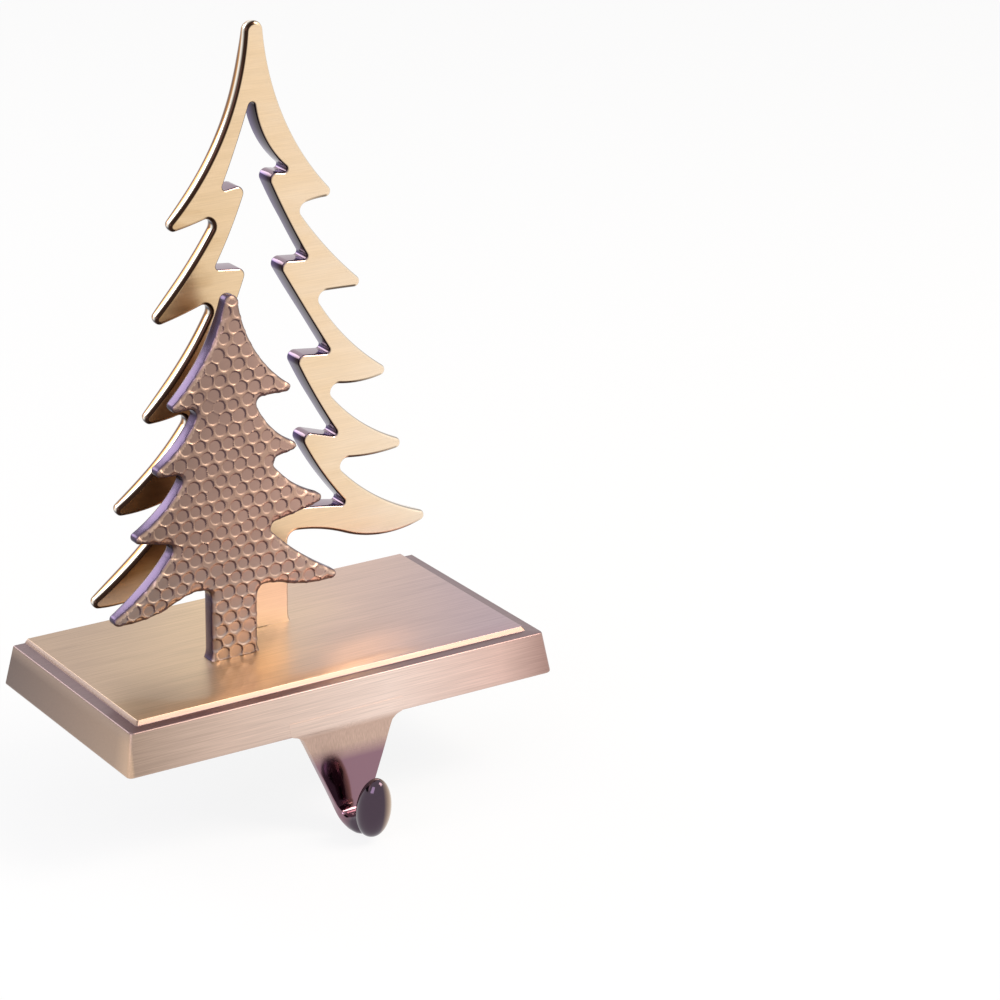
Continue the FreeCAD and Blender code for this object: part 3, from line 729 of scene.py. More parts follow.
@dataclass(frozen=True)
class BrushedBrass:
    """Brass plating on the tall tree's face: brushed across with fine grit, so it shines as a soft sheet. Its
    run from pale gold at the right and top to brown at the left points is painted light and shade. The rim
    behind it has a painted dark line of shade. The outer walls have painted light and shade: bright where
    they face up, turning gold towards the back, and dark plum under the boughs and in the opening."""

    name: str = "brass_plate_brushed_across"
    line_mm: float = 0.14
    line_length_mm: float = 9.0
    line_depth_mm: float = 3.0
    roughness: float = 0.32
    wall_roughness: float = 0.14
    rise_share: float = 0.13
    smudge_size: float = 0.034

    def build(self) -> bpy.types.Material:
        """Makes the material."""
        material, tree = new_material(self.name)
        place = add(tree, "ShaderNodeTexCoord").outputs["Object"]
        xyz = add(tree, "ShaderNodeSeparateXYZ", {0: place}).outputs
        wall, lift, right = (add(tree, "ShaderNodeAttribute", attribute_name=name).outputs["Fac"]
                             for name in ("wall", "lift", "side"))
        scale = tuple(1000 / size for size in (self.line_length_mm, self.line_depth_mm, self.line_mm))
        lines = add(tree, "ShaderNodeMapping", {"Vector": place, "Scale": scale})
        grain = add(tree, "ShaderNodeTexNoise", {"Vector": lines.outputs[0], "Scale": 1.0, "Detail": 2.0})
        # Painted light and shade from side to side and a little upwards: brown at the left points and pale at
        # the right
        slant = add(tree, "ShaderNodeMath", {0: xyz["Z"], 1: self.rise_share, 2: xyz["X"]},
                    operation="MULTIPLY_ADD")
        smear = add(tree, "ShaderNodeMapping", {"Vector": place, "Scale": (60.0, 60.0, 220.0),
                                                "Rotation": (0.0, 0.35, 0.0)})
        cloud = add(tree, "ShaderNodeTexNoise", {"Vector": smear.outputs[0], "Scale": 1.0, "Detail": 3.0})
        drift = add(tree, "ShaderNodeMath", {
            0: cloud.outputs["Fac"], 1: self.smudge_size, 2: slant.outputs[0]}, operation="MULTIPLY_ADD")
        # Each share runs between two values of its source, and places are in metres. The foot of the trunk is
        # paler, to make up for the gold that the base throws back into it.
        spans = {
            "side": (drift.outputs[0], -0.039, 0.071),
            "streak": (grain.outputs["Fac"], 0.3, 0.7, 0.93, 1.04),
            "foot": (xyz["Z"], 0.036, 0.018, 0.0, 0.75),
            "facing_up": (lift, -0.25, 0.12),
            "depth": (xyz["Y"], 0.007, 0.014),
            "line_start": (wall, 0.002, 0.03),
            "late_start": (wall, 0.25, 0.7),
            "line_end": (xyz["Y"], 0.0075, 0.0083, 1.0, 0.0),
            "facing_right": (right, -0.1, 0.35),
            "outer_wall": (wall, 0.1, 0.9),
            "opening": (wall, -0.04, -0.3),
            "opening_depth": (xyz["Y"], 0.0085, 0.0128),
            "opening_ledge": (lift, 0.45, 0.9)}
        share = {name: add(tree, "ShaderNodeMapRange", dict(zip(SHARE_SOCKETS, row))).outputs[0]
                 for name, row in spans.items()}
        face = add(tree, "ShaderNodeValToRGB", {"Fac": share["side"]})
        ramp_stops(face, [(0.0, "#553d29"), (0.18, "#7d6040"), (0.32, "#a98862"), (0.41, "#cfac80"),
                          (0.50, "#e6c8a0"), (0.66, "#f0d3ae"), (1.0, "#f7e2c9")])
        # Outer walls, painted light and shade: dark plum where they face down, bright where they face up,
        # gold towards the back
        painted_wall_light = add(tree, "ShaderNodeMix", {
            "Factor": share["facing_up"], 6: linear("#2e2334"), 7: linear("#fff6ea")}, data_type="RGBA")
        painted_wall_bands = add(tree, "ShaderNodeValToRGB", {"Fac": share["depth"]})
        ramp_stops(painted_wall_bands, [(0.0, "#ffffff"), (0.22, "#ffffff"), (0.28, "#d19c5a"), (0.35, "#8a5c30"),
                            (0.42, "#6b4424"), (0.60, "#8a5c30"), (0.80, "#d9bb98")])
        gold = add(tree, "ShaderNodeMix", {"Factor": 1.0, 6: painted_wall_light.outputs[2], 7: painted_wall_bands.outputs["Color"]},
                   data_type="RGBA", blend_type="MULTIPLY")
        # Painted shade: a dark line beside the face, which starts later on the walls that face right
        onset = add(tree, "ShaderNodeMix", {
            "Factor": share["facing_right"], 2: share["line_start"], 3: share["late_start"]})
        line = add(tree, "ShaderNodeMath", {0: onset.outputs[0], 1: share["line_end"]}, operation="MULTIPLY")
        # Opening, painted shade and light: dark walls that turn plum towards the back, lavender on the ledges
        # that face up
        deep = add(tree, "ShaderNodeMix", {
            "Factor": share["opening_depth"], 6: linear("#2b1d24"), 7: linear("#5a4b74")}, data_type="RGBA")
        plum = add(tree, "ShaderNodeMix", {
            "Factor": share["opening_ledge"], 6: deep.outputs[2], 7: linear("#97828e")}, data_type="RGBA")
        # Layers over the face, in order: how far each covers, its colour and how it is blended
        layers = ((share["foot"], linear("#d6ccc4"), "MIX"), (1.0, share["streak"], "MULTIPLY"),
                  (share["outer_wall"], gold.outputs[2], "MIX"), (line.outputs[0], linear("#34231b"), "MIX"),
                  (share["opening"], plum.outputs[2], "MIX"))
        colour = face.outputs["Color"]
        for cover, over, blend in layers:
            colour = add(tree, "ShaderNodeMix", {"Factor": cover, 6: colour, 7: over},
                         data_type="RGBA", blend_type=blend).outputs[2]
        glossy = add(tree, "ShaderNodeMath", {0: wall}, operation="ABSOLUTE")
        rough = add(tree, "ShaderNodeMapRange", {"Value": glossy.outputs[0], "From Max": 0.4,
                                                 "To Min": self.roughness, "To Max": self.wall_roughness})
        bump = add(tree, "ShaderNodeBump", {
            "Strength": 0.12, "Distance": 0.00004, "Height": grain.outputs["Fac"]})
        shader = add(tree, "ShaderNodeBsdfPrincipled", {
            "Base Color": colour, "Metallic": 1.0, "Roughness": rough.outputs[0], "Normal": bump.outputs[0]})
        add(tree, "ShaderNodeOutputMaterial", {0: shader.outputs[0]})
        return material


@dataclass(frozen=True)
class HammeredBrass:
    """Brass plating on the small tree: a hammered, satin rose-brown face with slightly rubbed ridges between
    the hollows. Painted shade darkens its left part and its shoulder, painted highlight and shade lie on the
    sides of the marks, and the smooth walls have a painted plum to lilac shine, lighter where they face up."""

    name: str = "brass_plate_hammered"
    face_y: float = SMALL_TREE_FACE

    def build(self) -> bpy.types.Material:
        """Makes the material."""
        material, tree = new_material(self.name)
        place = add(tree, "ShaderNodeTexCoord").outputs["Object"]
        xyz = add(tree, "ShaderNodeSeparateXYZ", {0: place}).outputs
        wall, lift = (add(tree, "ShaderNodeAttribute", attribute_name=name).outputs["Fac"]
                      for name in ("wall", "lift"))
        cloud = add(tree, "ShaderNodeTexNoise", {"Vector": place, "Scale": 60.0, "Detail": 4.0})
        # Each share runs between two values of its source, and places are in metres. The foot is greyer, to
        # make up for the gold that the base throws back into it.
        spans = {
            "across": (xyz["X"], -0.040, 0.008),
            "floors": (xyz["Y"], (self.face_y + 0.12) * MM, (self.face_y + 0.28) * MM),
            "foot": (xyz["Z"], 0.046, 0.018, 0.0, 0.6),
            "tone": (cloud.outputs["Fac"], 0.3, 0.7, 0.9, 1.08),
            "painted_shade_side": (lift, -0.05, -0.4, 0.0, 0.9),
            "painted_highlight_side": (lift, 0.1, 0.6, 0.0, 0.4),
            "shoulder": (xyz["Y"], (self.face_y + 0.4) * MM, (self.face_y + 1.1) * MM),
            "facing_up": (lift, -0.1, 0.5),
            "back": (xyz["Y"], -0.0026, -0.0018),
            "roughness": (wall, 0.0, 1.0, 0.42, 0.27)}
        share = {name: add(tree, "ShaderNodeMapRange", dict(zip(SHARE_SOCKETS, row))).outputs[0]
                 for name, row in spans.items()}
        # Painted shade and light: two tones, each darker at the left and lighter at the right, and the walls'
        # tones from facing down to facing up
        pairs = (("across", "#876e62", "#c8a38f"), ("across", "#806a60", "#c09c8e"),
                 ("facing_up", "#2b2035", "#5d4f68"))
        ground, floors, lilac = (add(tree, "ShaderNodeMix", {
            "Factor": share[name], 6: linear(low), 7: linear(high)}, data_type="RGBA").outputs[2]
            for name, low, high in pairs)
        # The back, which the photograph hides, is plain rose brown like the front
        behind = add(tree, "ShaderNodeMix", {
            "Factor": share["back"], 6: lilac, 7: linear("#a3897b")}, data_type="RGBA")
        # Layers over the ridges' ground, in order: how far each covers, its colour and how it is blended.
        # Painted shade lies on the sides of the marks that lean down and over the shoulder, and a painted
        # highlight on the sides that lean up.
        layers = ((share["floors"], floors, "MIX"), (share["foot"], linear("#a3968f"), "MIX"),
                  (1.0, share["tone"], "MULTIPLY"), (share["painted_shade_side"], linear("#4f3d42"), "MIX"),
                  (share["painted_highlight_side"], linear("#efcdb4"), "MIX"),
                  (share["shoulder"], linear("#6d594e"), "MIX"), (wall, behind.outputs[2], "MIX"))
        colour = ground
        for cover, over, blend in layers:
            colour = add(tree, "ShaderNodeMix", {"Factor": cover, 6: colour, 7: over},
                         data_type="RGBA", blend_type=blend).outputs[2]
        fine = add(tree, "ShaderNodeTexNoise", {"Vector": place, "Scale": 1800.0, "Detail": 2.0})
        bump = add(tree, "ShaderNodeBump", {
            "Strength": 0.1, "Distance": 0.00005, "Height": fine.outputs["Fac"]})
        shader = add(tree, "ShaderNodeBsdfPrincipled", {
            "Base Color": colour, "Metallic": 1.0, "Roughness": share["roughness"],
            "Normal": bump.outputs[0]})
        add(tree, "ShaderNodeOutputMaterial", {0: shader.outputs[0]})
        return material


@dataclass(frozen=True)
class AntiqueBrass:
    """Antique brass plating on the base and hook: brushed along the base and down the tongue, then clear
    lacquered, so it mirrors the trees softly. Light and shade are painted into its colour over the panel and
    walls, on the ledge and on the egg. The foot of the hook is polished to a plum bronze, painted darker as
    the reflection it shows."""

    name: str = "antique_brass_brushed"
    line_mm: float = 0.18
    line_length_mm: float = 16.0

    def build(self) -> bpy.types.Material:
        """Makes the material."""
        material, tree = new_material(self.name)
        place = add(tree, "ShaderNodeTexCoord").outputs["Object"]
        xyz = add(tree, "ShaderNodeSeparateXYZ", {0: place}).outputs
        fine, long = 1000 / self.line_mm, 1000 / self.line_length_mm
        along, down = (add(tree, "ShaderNodeMapping", {"Vector": place, "Scale": scale}).outputs[0]
                       for scale in ((long, fine, fine), (fine, fine, long)))
        hanging = add(tree, "ShaderNodeMapRange", {
            "Value": xyz["Z"], "From Min": 0.0012, "From Max": -0.0004}).outputs[0]
        lines = add(tree, "ShaderNodeMix", {"Factor": hanging, 4: along, 5: down}, data_type="VECTOR")
        grain = add(tree, "ShaderNodeTexNoise", {"Vector": lines.outputs[1], "Scale": 1.0, "Detail": 2.0})
        across = add(tree, "ShaderNodeMath", {0: xyz["Y"], 1: -0.6, 2: xyz["X"]}, operation="MULTIPLY_ADD")
        cloud = add(tree, "ShaderNodeTexNoise", {"Vector": place, "Scale": 30.0, "Detail": 1.0})
        drift = add(tree, "ShaderNodeMath", {0: cloud.outputs["Fac"], 1: 0.02, 2: across.outputs[0]},
                    operation="MULTIPLY_ADD")
        # Each share runs between two values of its source, and places are in metres
        spans = {
            "side": (drift.outputs[0], -0.05, 0.08),
            "length": (xyz["X"], -0.062, 0.062),
            "width": (xyz["Y"], -0.0338, 0.0338),
            "left_end": (xyz["X"], -0.0605, -0.0612),
            "ledge": (xyz["Z"], 0.0112, 0.01165),
            "step": (xyz["Z"], 0.01175, 0.0119),
            "panel": (xyz["Z"], 0.0127, 0.01283),
            "polish": (xyz["Z"], -0.0045, -0.0085),
            "egg": (xyz["Y"], -0.0375, -0.0415),
            "flank": (xyz["X"], 0.0002, 0.0030),
            "streak": (grain.outputs["Fac"], 0.3, 0.7, 0.84, 1.08)}
        share = {name: add(tree, "ShaderNodeMapRange", dict(zip(SHARE_SOCKETS, row))).outputs[0]
                 for name, row in spans.items()}
        # Painted light and shade. Panel: from the back left corner to the front right. Walls: along the
        # front, and from front to back on the left end.
        panel, wide, cheek = (add(tree, "ShaderNodeValToRGB", {"Fac": share[name]})
                              for name in ("side", "length", "width"))
        ramp_stops(panel, [(0.0, "#bca088"), (0.35, "#e2c39c"), (0.6, "#d2b3a2"), (1.0, "#b0969c")])
        ramp_stops(wide, [(0.0, "#a8907f"), (0.22, "#d2b8a8"), (0.6, "#efd8cc"), (0.88, "#debcb0"),
                          (1.0, "#a8867d")])
        ramp_stops(cheek, [(0.0, "#d0b094"), (0.12, "#a88d78"), (0.6, "#8a7263"), (1.0, "#6c574e")])
        # Layers over the walls: the left end, the ledge with painted shade, the step and the panel
        base = wide.outputs["Color"]
        for cover, over in ((share["left_end"], cheek.outputs["Color"]), (share["ledge"], linear("#856c6e")),
                            (share["step"], linear("#8a7266")), (share["panel"], panel.outputs["Color"])):
            base = add(tree, "ShaderNodeMix", {"Factor": cover, 6: base, 7: over},
                       data_type="RGBA").outputs[2]
        # Hook: brushed near the base, polished below to a plum bronze painted darker as reflection, and an
        # egg painted dark as shade with a painted golden sheen on its right flank
        tip = add(tree, "ShaderNodeMix", {
            "Factor": share["flank"], 6: linear("#463744"), 7: linear("#c4a78c")}, data_type="RGBA")
        hook = linear("#c8aa9a")
        for cover, over in ((share["polish"], linear("#8d6a76")), (share["egg"], tip.outputs[2])):
            hook = add(tree, "ShaderNodeMix", {"Factor": cover, 6: hook, 7: over},
                       data_type="RGBA").outputs[2]
        whole = add(tree, "ShaderNodeMix", {"Factor": hanging, 6: base, 7: hook}, data_type="RGBA")
        # The polish takes the brushed lines away
        smooth = add(tree, "ShaderNodeMath", {0: share["polish"], 1: hanging}, operation="MULTIPLY")
        marked = add(tree, "ShaderNodeMath", {0: 1.0, 1: smooth.outputs[0]}, operation="SUBTRACT")
        colour = add(tree, "ShaderNodeMix", {"Factor": marked.outputs[0], 6: whole.outputs[2],
                                             7: share["streak"]}, data_type="RGBA", blend_type="MULTIPLY")
        rough = add(tree, "ShaderNodeMapRange", {"Value": smooth.outputs[0], "To Min": 0.4, "To Max": 0.1})
        strength = add(tree, "ShaderNodeMath", {0: marked.outputs[0], 1: 0.16}, operation="MULTIPLY")
        bump = add(tree, "ShaderNodeBump", {"Strength": strength.outputs[0], "Distance": 0.00004,
                                            "Height": grain.outputs["Fac"]})
        shader = add(tree, "ShaderNodeBsdfPrincipled", {
            "Base Color": colour.outputs[2], "Metallic": 1.0, "Roughness": rough.outputs[0],
            "Coat Weight": 0.4, "Coat Roughness": 0.1, "Normal": bump.outputs[0]})
        add(tree, "ShaderNodeOutputMaterial", {0: shader.outputs[0]})
        return material


@dataclass(frozen=True)
class PlatedSteel:
    """Bright zinc plating on the screws: a bluish grey with a fine crystal mottle."""

    name: str = "zinc_plated_steel"
    grain_mm: float = 0.8

    def build(self) -> bpy.types.Material:
        """Makes the material."""
        material, tree = new_material(self.name)
        place = add(tree, "ShaderNodeTexCoord").outputs["Object"]
        mottle = add(tree, "ShaderNodeTexNoise", {
            "Vector": place, "Scale": 1000 / self.grain_mm, "Detail": 2.0})
        tone = add(tree, "ShaderNodeValToRGB", {"Fac": mottle.outputs["Fac"]})
        ramp_stops(tone, [(0.3, "#9a9ea3"), (0.7, "#c2c5c8")])
        rough = add(tree, "ShaderNodeMapRange", {
            "Value": mottle.outputs["Fac"], "To Min": 0.25, "To Max": 0.42})
        shader = add(tree, "ShaderNodeBsdfPrincipled", {
            "Base Color": tone.outputs["Color"], "Metallic": 1.0, "Roughness": rough.outputs[0]})
        add(tree, "ShaderNodeOutputMaterial", {0: shader.outputs[0]})
        return material


@dataclass(frozen=True)
class FoamRubber:
    """Closed-cell rubber sheet of the pad: matt black with fine skinned pores."""

    name: str = "closed_cell_rubber_sheet"
    pore_mm: float = 0.35

    def build(self) -> bpy.types.Material:
        """Makes the material."""
        material, tree = new_material(self.name)
        place = add(tree, "ShaderNodeTexCoord").outputs["Object"]
        pores = add(tree, "ShaderNodeTexVoronoi", {"Vector": place, "Scale": 1000 / self.pore_mm})
        tone = add(tree, "ShaderNodeValToRGB", {"Fac": pores.outputs["Distance"]})
        ramp_stops(tone, [(0.0, "#1b1b1d"), (0.8, "#2b2b2e")])
        bump = add(tree, "ShaderNodeBump", {
            "Strength": 0.5, "Distance": 0.0001, "Height": pores.outputs["Distance"]})
        shader = add(tree, "ShaderNodeBsdfPrincipled", {
            "Base Color": tone.outputs["Color"], "Roughness": 0.85, "Normal": bump.outputs[0]})
        add(tree, "ShaderNodeOutputMaterial", {0: shader.outputs[0]})
        return material


# The object

def wear(thing: bpy.types.Object, material: bpy.types.Material) -> None:
    """Puts one material on the whole object.

    Args:
        thing: The object.
        material: Its finish.
    """
    thing.data.materials.clear()
    thing.data.materials.append(material)


def report(thing: bpy.types.Object) -> None:
    """Logs a piece's name and its number of faces.

    Args:
        thing: The piece.
    """
    log.info("%s: %d faces", thing.name, len(thing.data.polygons))


@dataclass
class TallTree:
    """Openwork tree: a plate with soft rims round its outline and a finer rim round its opening."""

    shape: TreeShape = field(default_factory=lambda: BACK_SHAPE)
    opening: Opening = field(default_factory=lambda: BACK_OPENING)
    place: tuple = (0.2, 7.0, SEAT)
    front_rim: float = 1.0
    opening_rim: float = 0.7
    hold: float = 0.06
    rings: tuple = (0.0, 0.03, 0.08, 0.16, 0.28, 0.45, 0.65, 0.9, 1.2)
    net_pitch: float = 0.7
    net_low: tuple = (-56, 0.3)
    net_high: tuple = (56, 161)
    edge_margin: float = 0.35
    opening_margin: float = 0.4
    sharp: float = 40.0

    def build(self, finish: bpy.types.Material) -> bpy.types.Object:
        """Builds the tree and puts it in the place of its CAD solid.

        Args:
            finish: Its material.

        Returns:
            The object.
        """
        shell = Shell()
        line = self.shape.line()
        normals = left_normals(line)
        normals[[0, -1]] = [[-1, 0], [1, 0]]
        insets = np.array(self.rings)
        rear = carried(line, normals, np.stack([insets, insets * 0], -1))
        rear[..., 1] = self.shape.back(rear[..., [0, 2]], ring_reach(insets, rear[-1][:, [0, 2]], line))
        start = [[self.front_rim + self.hold, 0]]
        front = carried(line, normals, np.concatenate([start, quarter(self.front_rim, 0, False)]))
        outer = np.concatenate([front, rear])
        loop = self.opening.loop()
        outward = left_normals(loop, True)
        rim = self.opening_rim
        inner = carried(loop, outward, np.concatenate([[[rim + self.hold, 0]], quarter(rim, 0, False)]))
        turn = quarter(rim, 0, True)
        behind = carried(loop, outward, np.concatenate([turn, [[rim + self.hold, 0]]]))
        last = behind[-1][:, [0, 2]]
        behind[..., 1] += self.shape.back(last, soft_distance(last, line))[None]
        inner = np.concatenate([inner, behind])
        shell.add_grid(outer, False, wall_marks(outer, normals, self.front_rim))
        shell.add_grid(inner, True, wall_marks(inner, outward, -rim))
        dots = net(self.net_low, self.net_high, self.net_pitch)
        margins = (line - normals * (insets[-1] + self.edge_margin),
                   loop - outward * (rim + self.opening_margin))
        dots = dots[inside(dots, margins[0]) & ~inside(dots, margins[1])]
        front_loops, rear_loops = ([ring[row][:, [0, 2]] for ring in (outer, inner)] for row in (0, -1))
        shell.add_cap(front_loops, lambda p: np.zeros(len(p)))
        shell.add_cap(rear_loops, lambda p: self.shape.back(p, soft_distance(p, line)), dots, 1.0)
        shell.add_face(np.concatenate([outer[:, 0], outer[::-1, -1]]))
        tree = shell.build("tall_tree", self.place, self.sharp)
        wear(tree, finish)
        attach(tree, "root")
        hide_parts("back_tree")
        return tree


@dataclass
class HammeredTree:
    """Small tree: a plate whose whole front is struck with shallow round hollows that scallop its rim."""

    shape: TreeShape = field(default_factory=lambda: FRONT_SHAPE)
    place: tuple = (-16.6, SMALL_TREE_FACE, SEAT)
    shoulder_reach: float = 2.1
    shoulder_drop: float = 1.1
    pitch: float = 3.85
    row: float = 3.35
    first_row: float = 1.4
    mark_radius: float = 1.72
    mark_depth: float = 0.2
    mark_side: float = 0.34
    mark_rows: tuple = (-2, 30)
    mark_columns: tuple = (-12, 13)
    mark_spread: tuple = (0.84, 1.12)
    seed: int = 11
    hollow_depth: float = 0.14
    hollow_reach: float = 0.9
    wander: float = 0.55
    fineness: float = 0.25
    shade_step: float = 0.06
    shade_way: tuple = (0.72, 0.69)
    wall_fade: float = 3.0
    net_low: tuple = (-40, 0.2)
    net_high: tuple = (40, 97)
    rings: tuple = (0.0, 0.03, 0.08, 0.16, 0.28, 0.45, 0.65, 0.9)
    sharp: float = 42.0

    def marks(self) -> tuple[np.ndarray, np.ndarray]:
        """Centres and radii of the hammer marks: offset rows, each centre and radius shifted at random."""
        chance = np.random.default_rng(self.seed)
        rows, columns = np.meshgrid(np.arange(*self.mark_rows), np.arange(*self.mark_columns), indexing="ij")
        shift = np.where(rows % 2 == 1, self.pitch / 2, 0)
        u = columns * self.pitch + shift
        v = self.first_row + rows * self.row
        centres = np.stack([u, v], -1).reshape(-1, 2) + chance.uniform(-self.wander, self.wander, (u.size, 2))
        return centres, self.mark_radius * chance.uniform(*self.mark_spread, u.size)

    def depth(self, points: np.ndarray, reach: np.ndarray) -> np.ndarray:
        """Depth of the struck face.

        Each blow leaves a flat disc whose side is a smooth step 3 t t - 2 t t t. The metal between the discs
        sinks from the line midway between two centres towards each disc. All of it runs on over a shoulder,
        a quarter round that drops the face towards the outline.

        Args:
            points: Points (u, v).
            reach: Soft distance of each point from the outline.

        Returns:
            How far behind the unstruck face each point lies.
        """
        centres, radii = self.marks()
        near, edge = np.zeros(len(points)), np.zeros(len(points))
        for part in chunks(len(points), 4000):
            away = np.sqrt(((points[part, None] - centres[None]) ** 2).sum(-1))
            first = away.argmin(1)
            two = np.partition(away, 1, axis=1)[:, :2]
            near[part], edge[part] = radii[first] - two[:, 0], two[:, 1] - two[:, 0]
        side = np.clip(near / self.mark_side + 0.5, 0, 1)
        struck = self.mark_depth * (3 * side ** 2 - 2 * side ** 3)
        struck += self.hollow_depth * (1 - np.exp(-edge / self.hollow_reach))
        past = np.clip(1 - reach / self.shoulder_reach, 0, 1)
        return struck + self.shoulder_drop * (1 - np.sqrt(1 - past ** 2))

    def lean(self, points: np.ndarray, line: np.ndarray) -> np.ndarray:
        """How far the struck face leans up and to the right, which is the slope of its depth that way.

        Args:
            points: Points (u, v).
            line: The tree's outline.

        Returns:
            Slopes, held between -1 and 1.
        """
        step = self.shade_step * np.array(self.shade_way)
        reach = soft_distance(points, line)
        rise = self.depth(points + step, reach) - self.depth(points - step, reach)
        return np.clip(rise / (2 * self.shade_step), -1, 1)

    def build(self, finish: bpy.types.Material) -> bpy.types.Object:
        """Builds the tree and puts it in the place of its CAD solid.

        Args:
            finish: Its material.

        Returns:
            The object.
        """
        shell = Shell()
        line = self.shape.line()
        normals = left_normals(line)
        normals[[0, -1]] = [[-1, 0], [1, 0]]
        insets = np.array(self.rings)
        rings = carried(line, normals, np.stack([insets, insets * 0], -1))
        reach = ring_reach(insets, rings[-1][:, [0, 2]], line)
        rear, front = rings.copy(), rings.copy()
        rear[..., 1] = self.shape.back(rear[..., [0, 2]], reach)
        front[..., 1] = self.depth(front[..., [0, 2]].reshape(-1, 2), reach.ravel()).reshape(reach.shape)
        wall = np.concatenate([front[::-1], rear])
        marks = wall_marks(wall, normals, self.shoulder_drop)
        marks[:len(insets), :, 0] = np.clip(1 - self.wall_fade * insets[::-1, None], 0, 1)
        shell.add_grid(wall, False, marks)
        for row, pitch in ((0, self.fineness), (-1, self.fineness * 2)):
            dots = net(self.net_low, self.net_high, pitch)
            dots = dots[inside(dots, line - normals * (insets[-1] + pitch / 2))]
            loops = [wall[row][:, [0, 2]]]
            if row == 0:
                # The front's lean goes into its lift mark, from which the finish paints highlight and shade
                # on the marks
                shell.add_cap(loops, lambda p: self.depth(p, soft_distance(p, line)), dots,
                              lean=lambda p: self.lean(p, line))
            else:
                shell.add_cap(loops, lambda p: self.shape.back(p, soft_distance(p, line)), dots, 1.0)
        shell.add_face(np.concatenate([wall[:, 0], wall[::-1, -1]]))
        tree = shell.build("hammered_tree", self.place, self.sharp)
        wear(tree, finish)
        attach(tree, "root")
        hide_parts("front_tree")
        return tree


@dataclass
class Plinth:
    """Drafted slab with a ledge and a raised panel, whose section runs round the front and both ends.

    The section is a list of (inset, height). The back wall closes it, and a recess below holds the pad.
    """

    half_length: float = 62.5
    half_depth: float = 33.8
    bottom: float = 0.4
    lean: float = 1.85
    height: float = 11.3
    ledge: float = 3.2
    bevel: float = 0.9
    rise: float = 1.15
    foot_round: float = 0.8
    lip_round: float = 0.4
    corner: float = 1.2
    least_corner: float = 0.4
    corner_shrink: float = 0.22
    end_parts: int = 12
    bend_points: int = 9
    round_points: int = 7
    recess_margin: float = 3.7
    recess_corner: float = 3.3
    recess_top: float = 1.6
    sharp: float = 30.0

    def section(self) -> np.ndarray:
        """Section from the bottom edge to the panel as (inset, height), rounded at its foot and lip."""
        slope = self.lean / self.height
        low, top = self.bottom, self.bottom + self.height
        t = np.linspace(0, math.pi / 2, self.round_points)
        foot = np.stack([self.foot_round * (1 - np.sin(t)), low + self.foot_round * (1 - np.cos(t))], -1)
        lip = np.stack([self.lean + self.lip_round * (1 - np.cos(t)),
                        top - self.lip_round * (1 - np.sin(t))], -1)
        foot[:, 0] += (foot[:, 1] - low) * slope
        lip[:, 0] += (lip[:, 1] - top) * slope
        # The step up to the panel, whose two corners are eased by about 0.1 mm
        edge, brim, deck = self.lean + self.ledge, self.lean + self.ledge + self.bevel, top + self.rise
        step = [[edge - 0.12, top], [edge + 0.04, top + 0.03],
                [brim - 0.09, deck - 0.08], [brim - 0.02, deck - 0.02], [brim + 0.1, deck]]
        return np.concatenate([foot, lip, step])

    def rear(self, height: np.ndarray) -> np.ndarray:
        """Place y of the back wall, which leans in by the slope times the height above the bottom."""
        return self.half_depth - (height - self.bottom) * self.lean / self.height

    def path(self, inset: float, height: float) -> np.ndarray:
        """Line (x, y) of one section point round the slab: back left, front left, front right, back right.

        Args:
            inset: Inset from the bottom's outline.
            height: Height, which says where the back wall is.

        Returns:
            Points. The radius of the two corners shrinks with the inset past the lean, down to a least one.
        """
        radius = max(self.corner - self.corner_shrink * max(0.0, inset - self.lean), self.least_corner)
        x, y = self.half_length - inset, -(self.half_depth - inset)
        t = np.linspace(0, math.pi / 2, self.bend_points)
        bend = np.stack([-x + radius * (1 - np.cos(t)), y + radius * (1 - np.sin(t))], -1)
        ends = np.linspace(float(self.rear(np.array(height))), y + radius, self.end_parts + 1)[:-1]
        left = np.concatenate([np.stack([np.full(self.end_parts, -x), ends], -1), bend])
        return np.concatenate([left, left[::-1] * [-1, 1]])

    def build(self, finish: bpy.types.Material) -> bpy.types.Object:
        """Builds the slab in the place of the CAD casting's own.

        Args:
            finish: Its material.

        Returns:
            The object.
        """
        shell = Shell()
        points = 2 * (self.end_parts + self.bend_points)
        rows = np.stack([np.column_stack([self.path(inset, height), np.full(points, height)])
                         for inset, height in self.section()])
        shell.add_grid(rows, False)
        x, y = self.half_length - self.recess_margin, self.half_depth - self.recess_margin
        t = np.linspace(0, math.pi / 2, self.bend_points)
        arc = self.recess_corner * np.stack([np.cos(t) - 1, np.sin(t) - 1], -1) + [x, y]
        half = np.concatenate([arc, arc[::-1] * [-1, 1]])
        recess = np.concatenate([half, -half])
        shell.add_cap([rows[0][:, :2], recess], lambda p: np.full(len(p), self.bottom), level=True)
        shell.add_cap([recess], lambda p: np.full(len(p), self.recess_top), level=True)
        walls = [np.column_stack([recess, np.full(len(recess), z)]) for z in (self.bottom, self.recess_top)]
        shell.add_grid(np.stack(walls), True)
        panel = rows[-1]
        shell.add_cap([panel[:, :2]], lambda p: np.full(len(p), panel[0, 2]), level=True)
        outline = np.concatenate([rows[:, 0], rows[::-1, -1]])[:, [0, 2]]
        shell.add_cap([outline], lambda p: self.rear(p[:, 1]))
        slab = shell.build("plinth", (0, 0, 0), self.sharp)
        wear(slab, finish)
        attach(slab, "root")
        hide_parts("base_with_hook")
        return slab


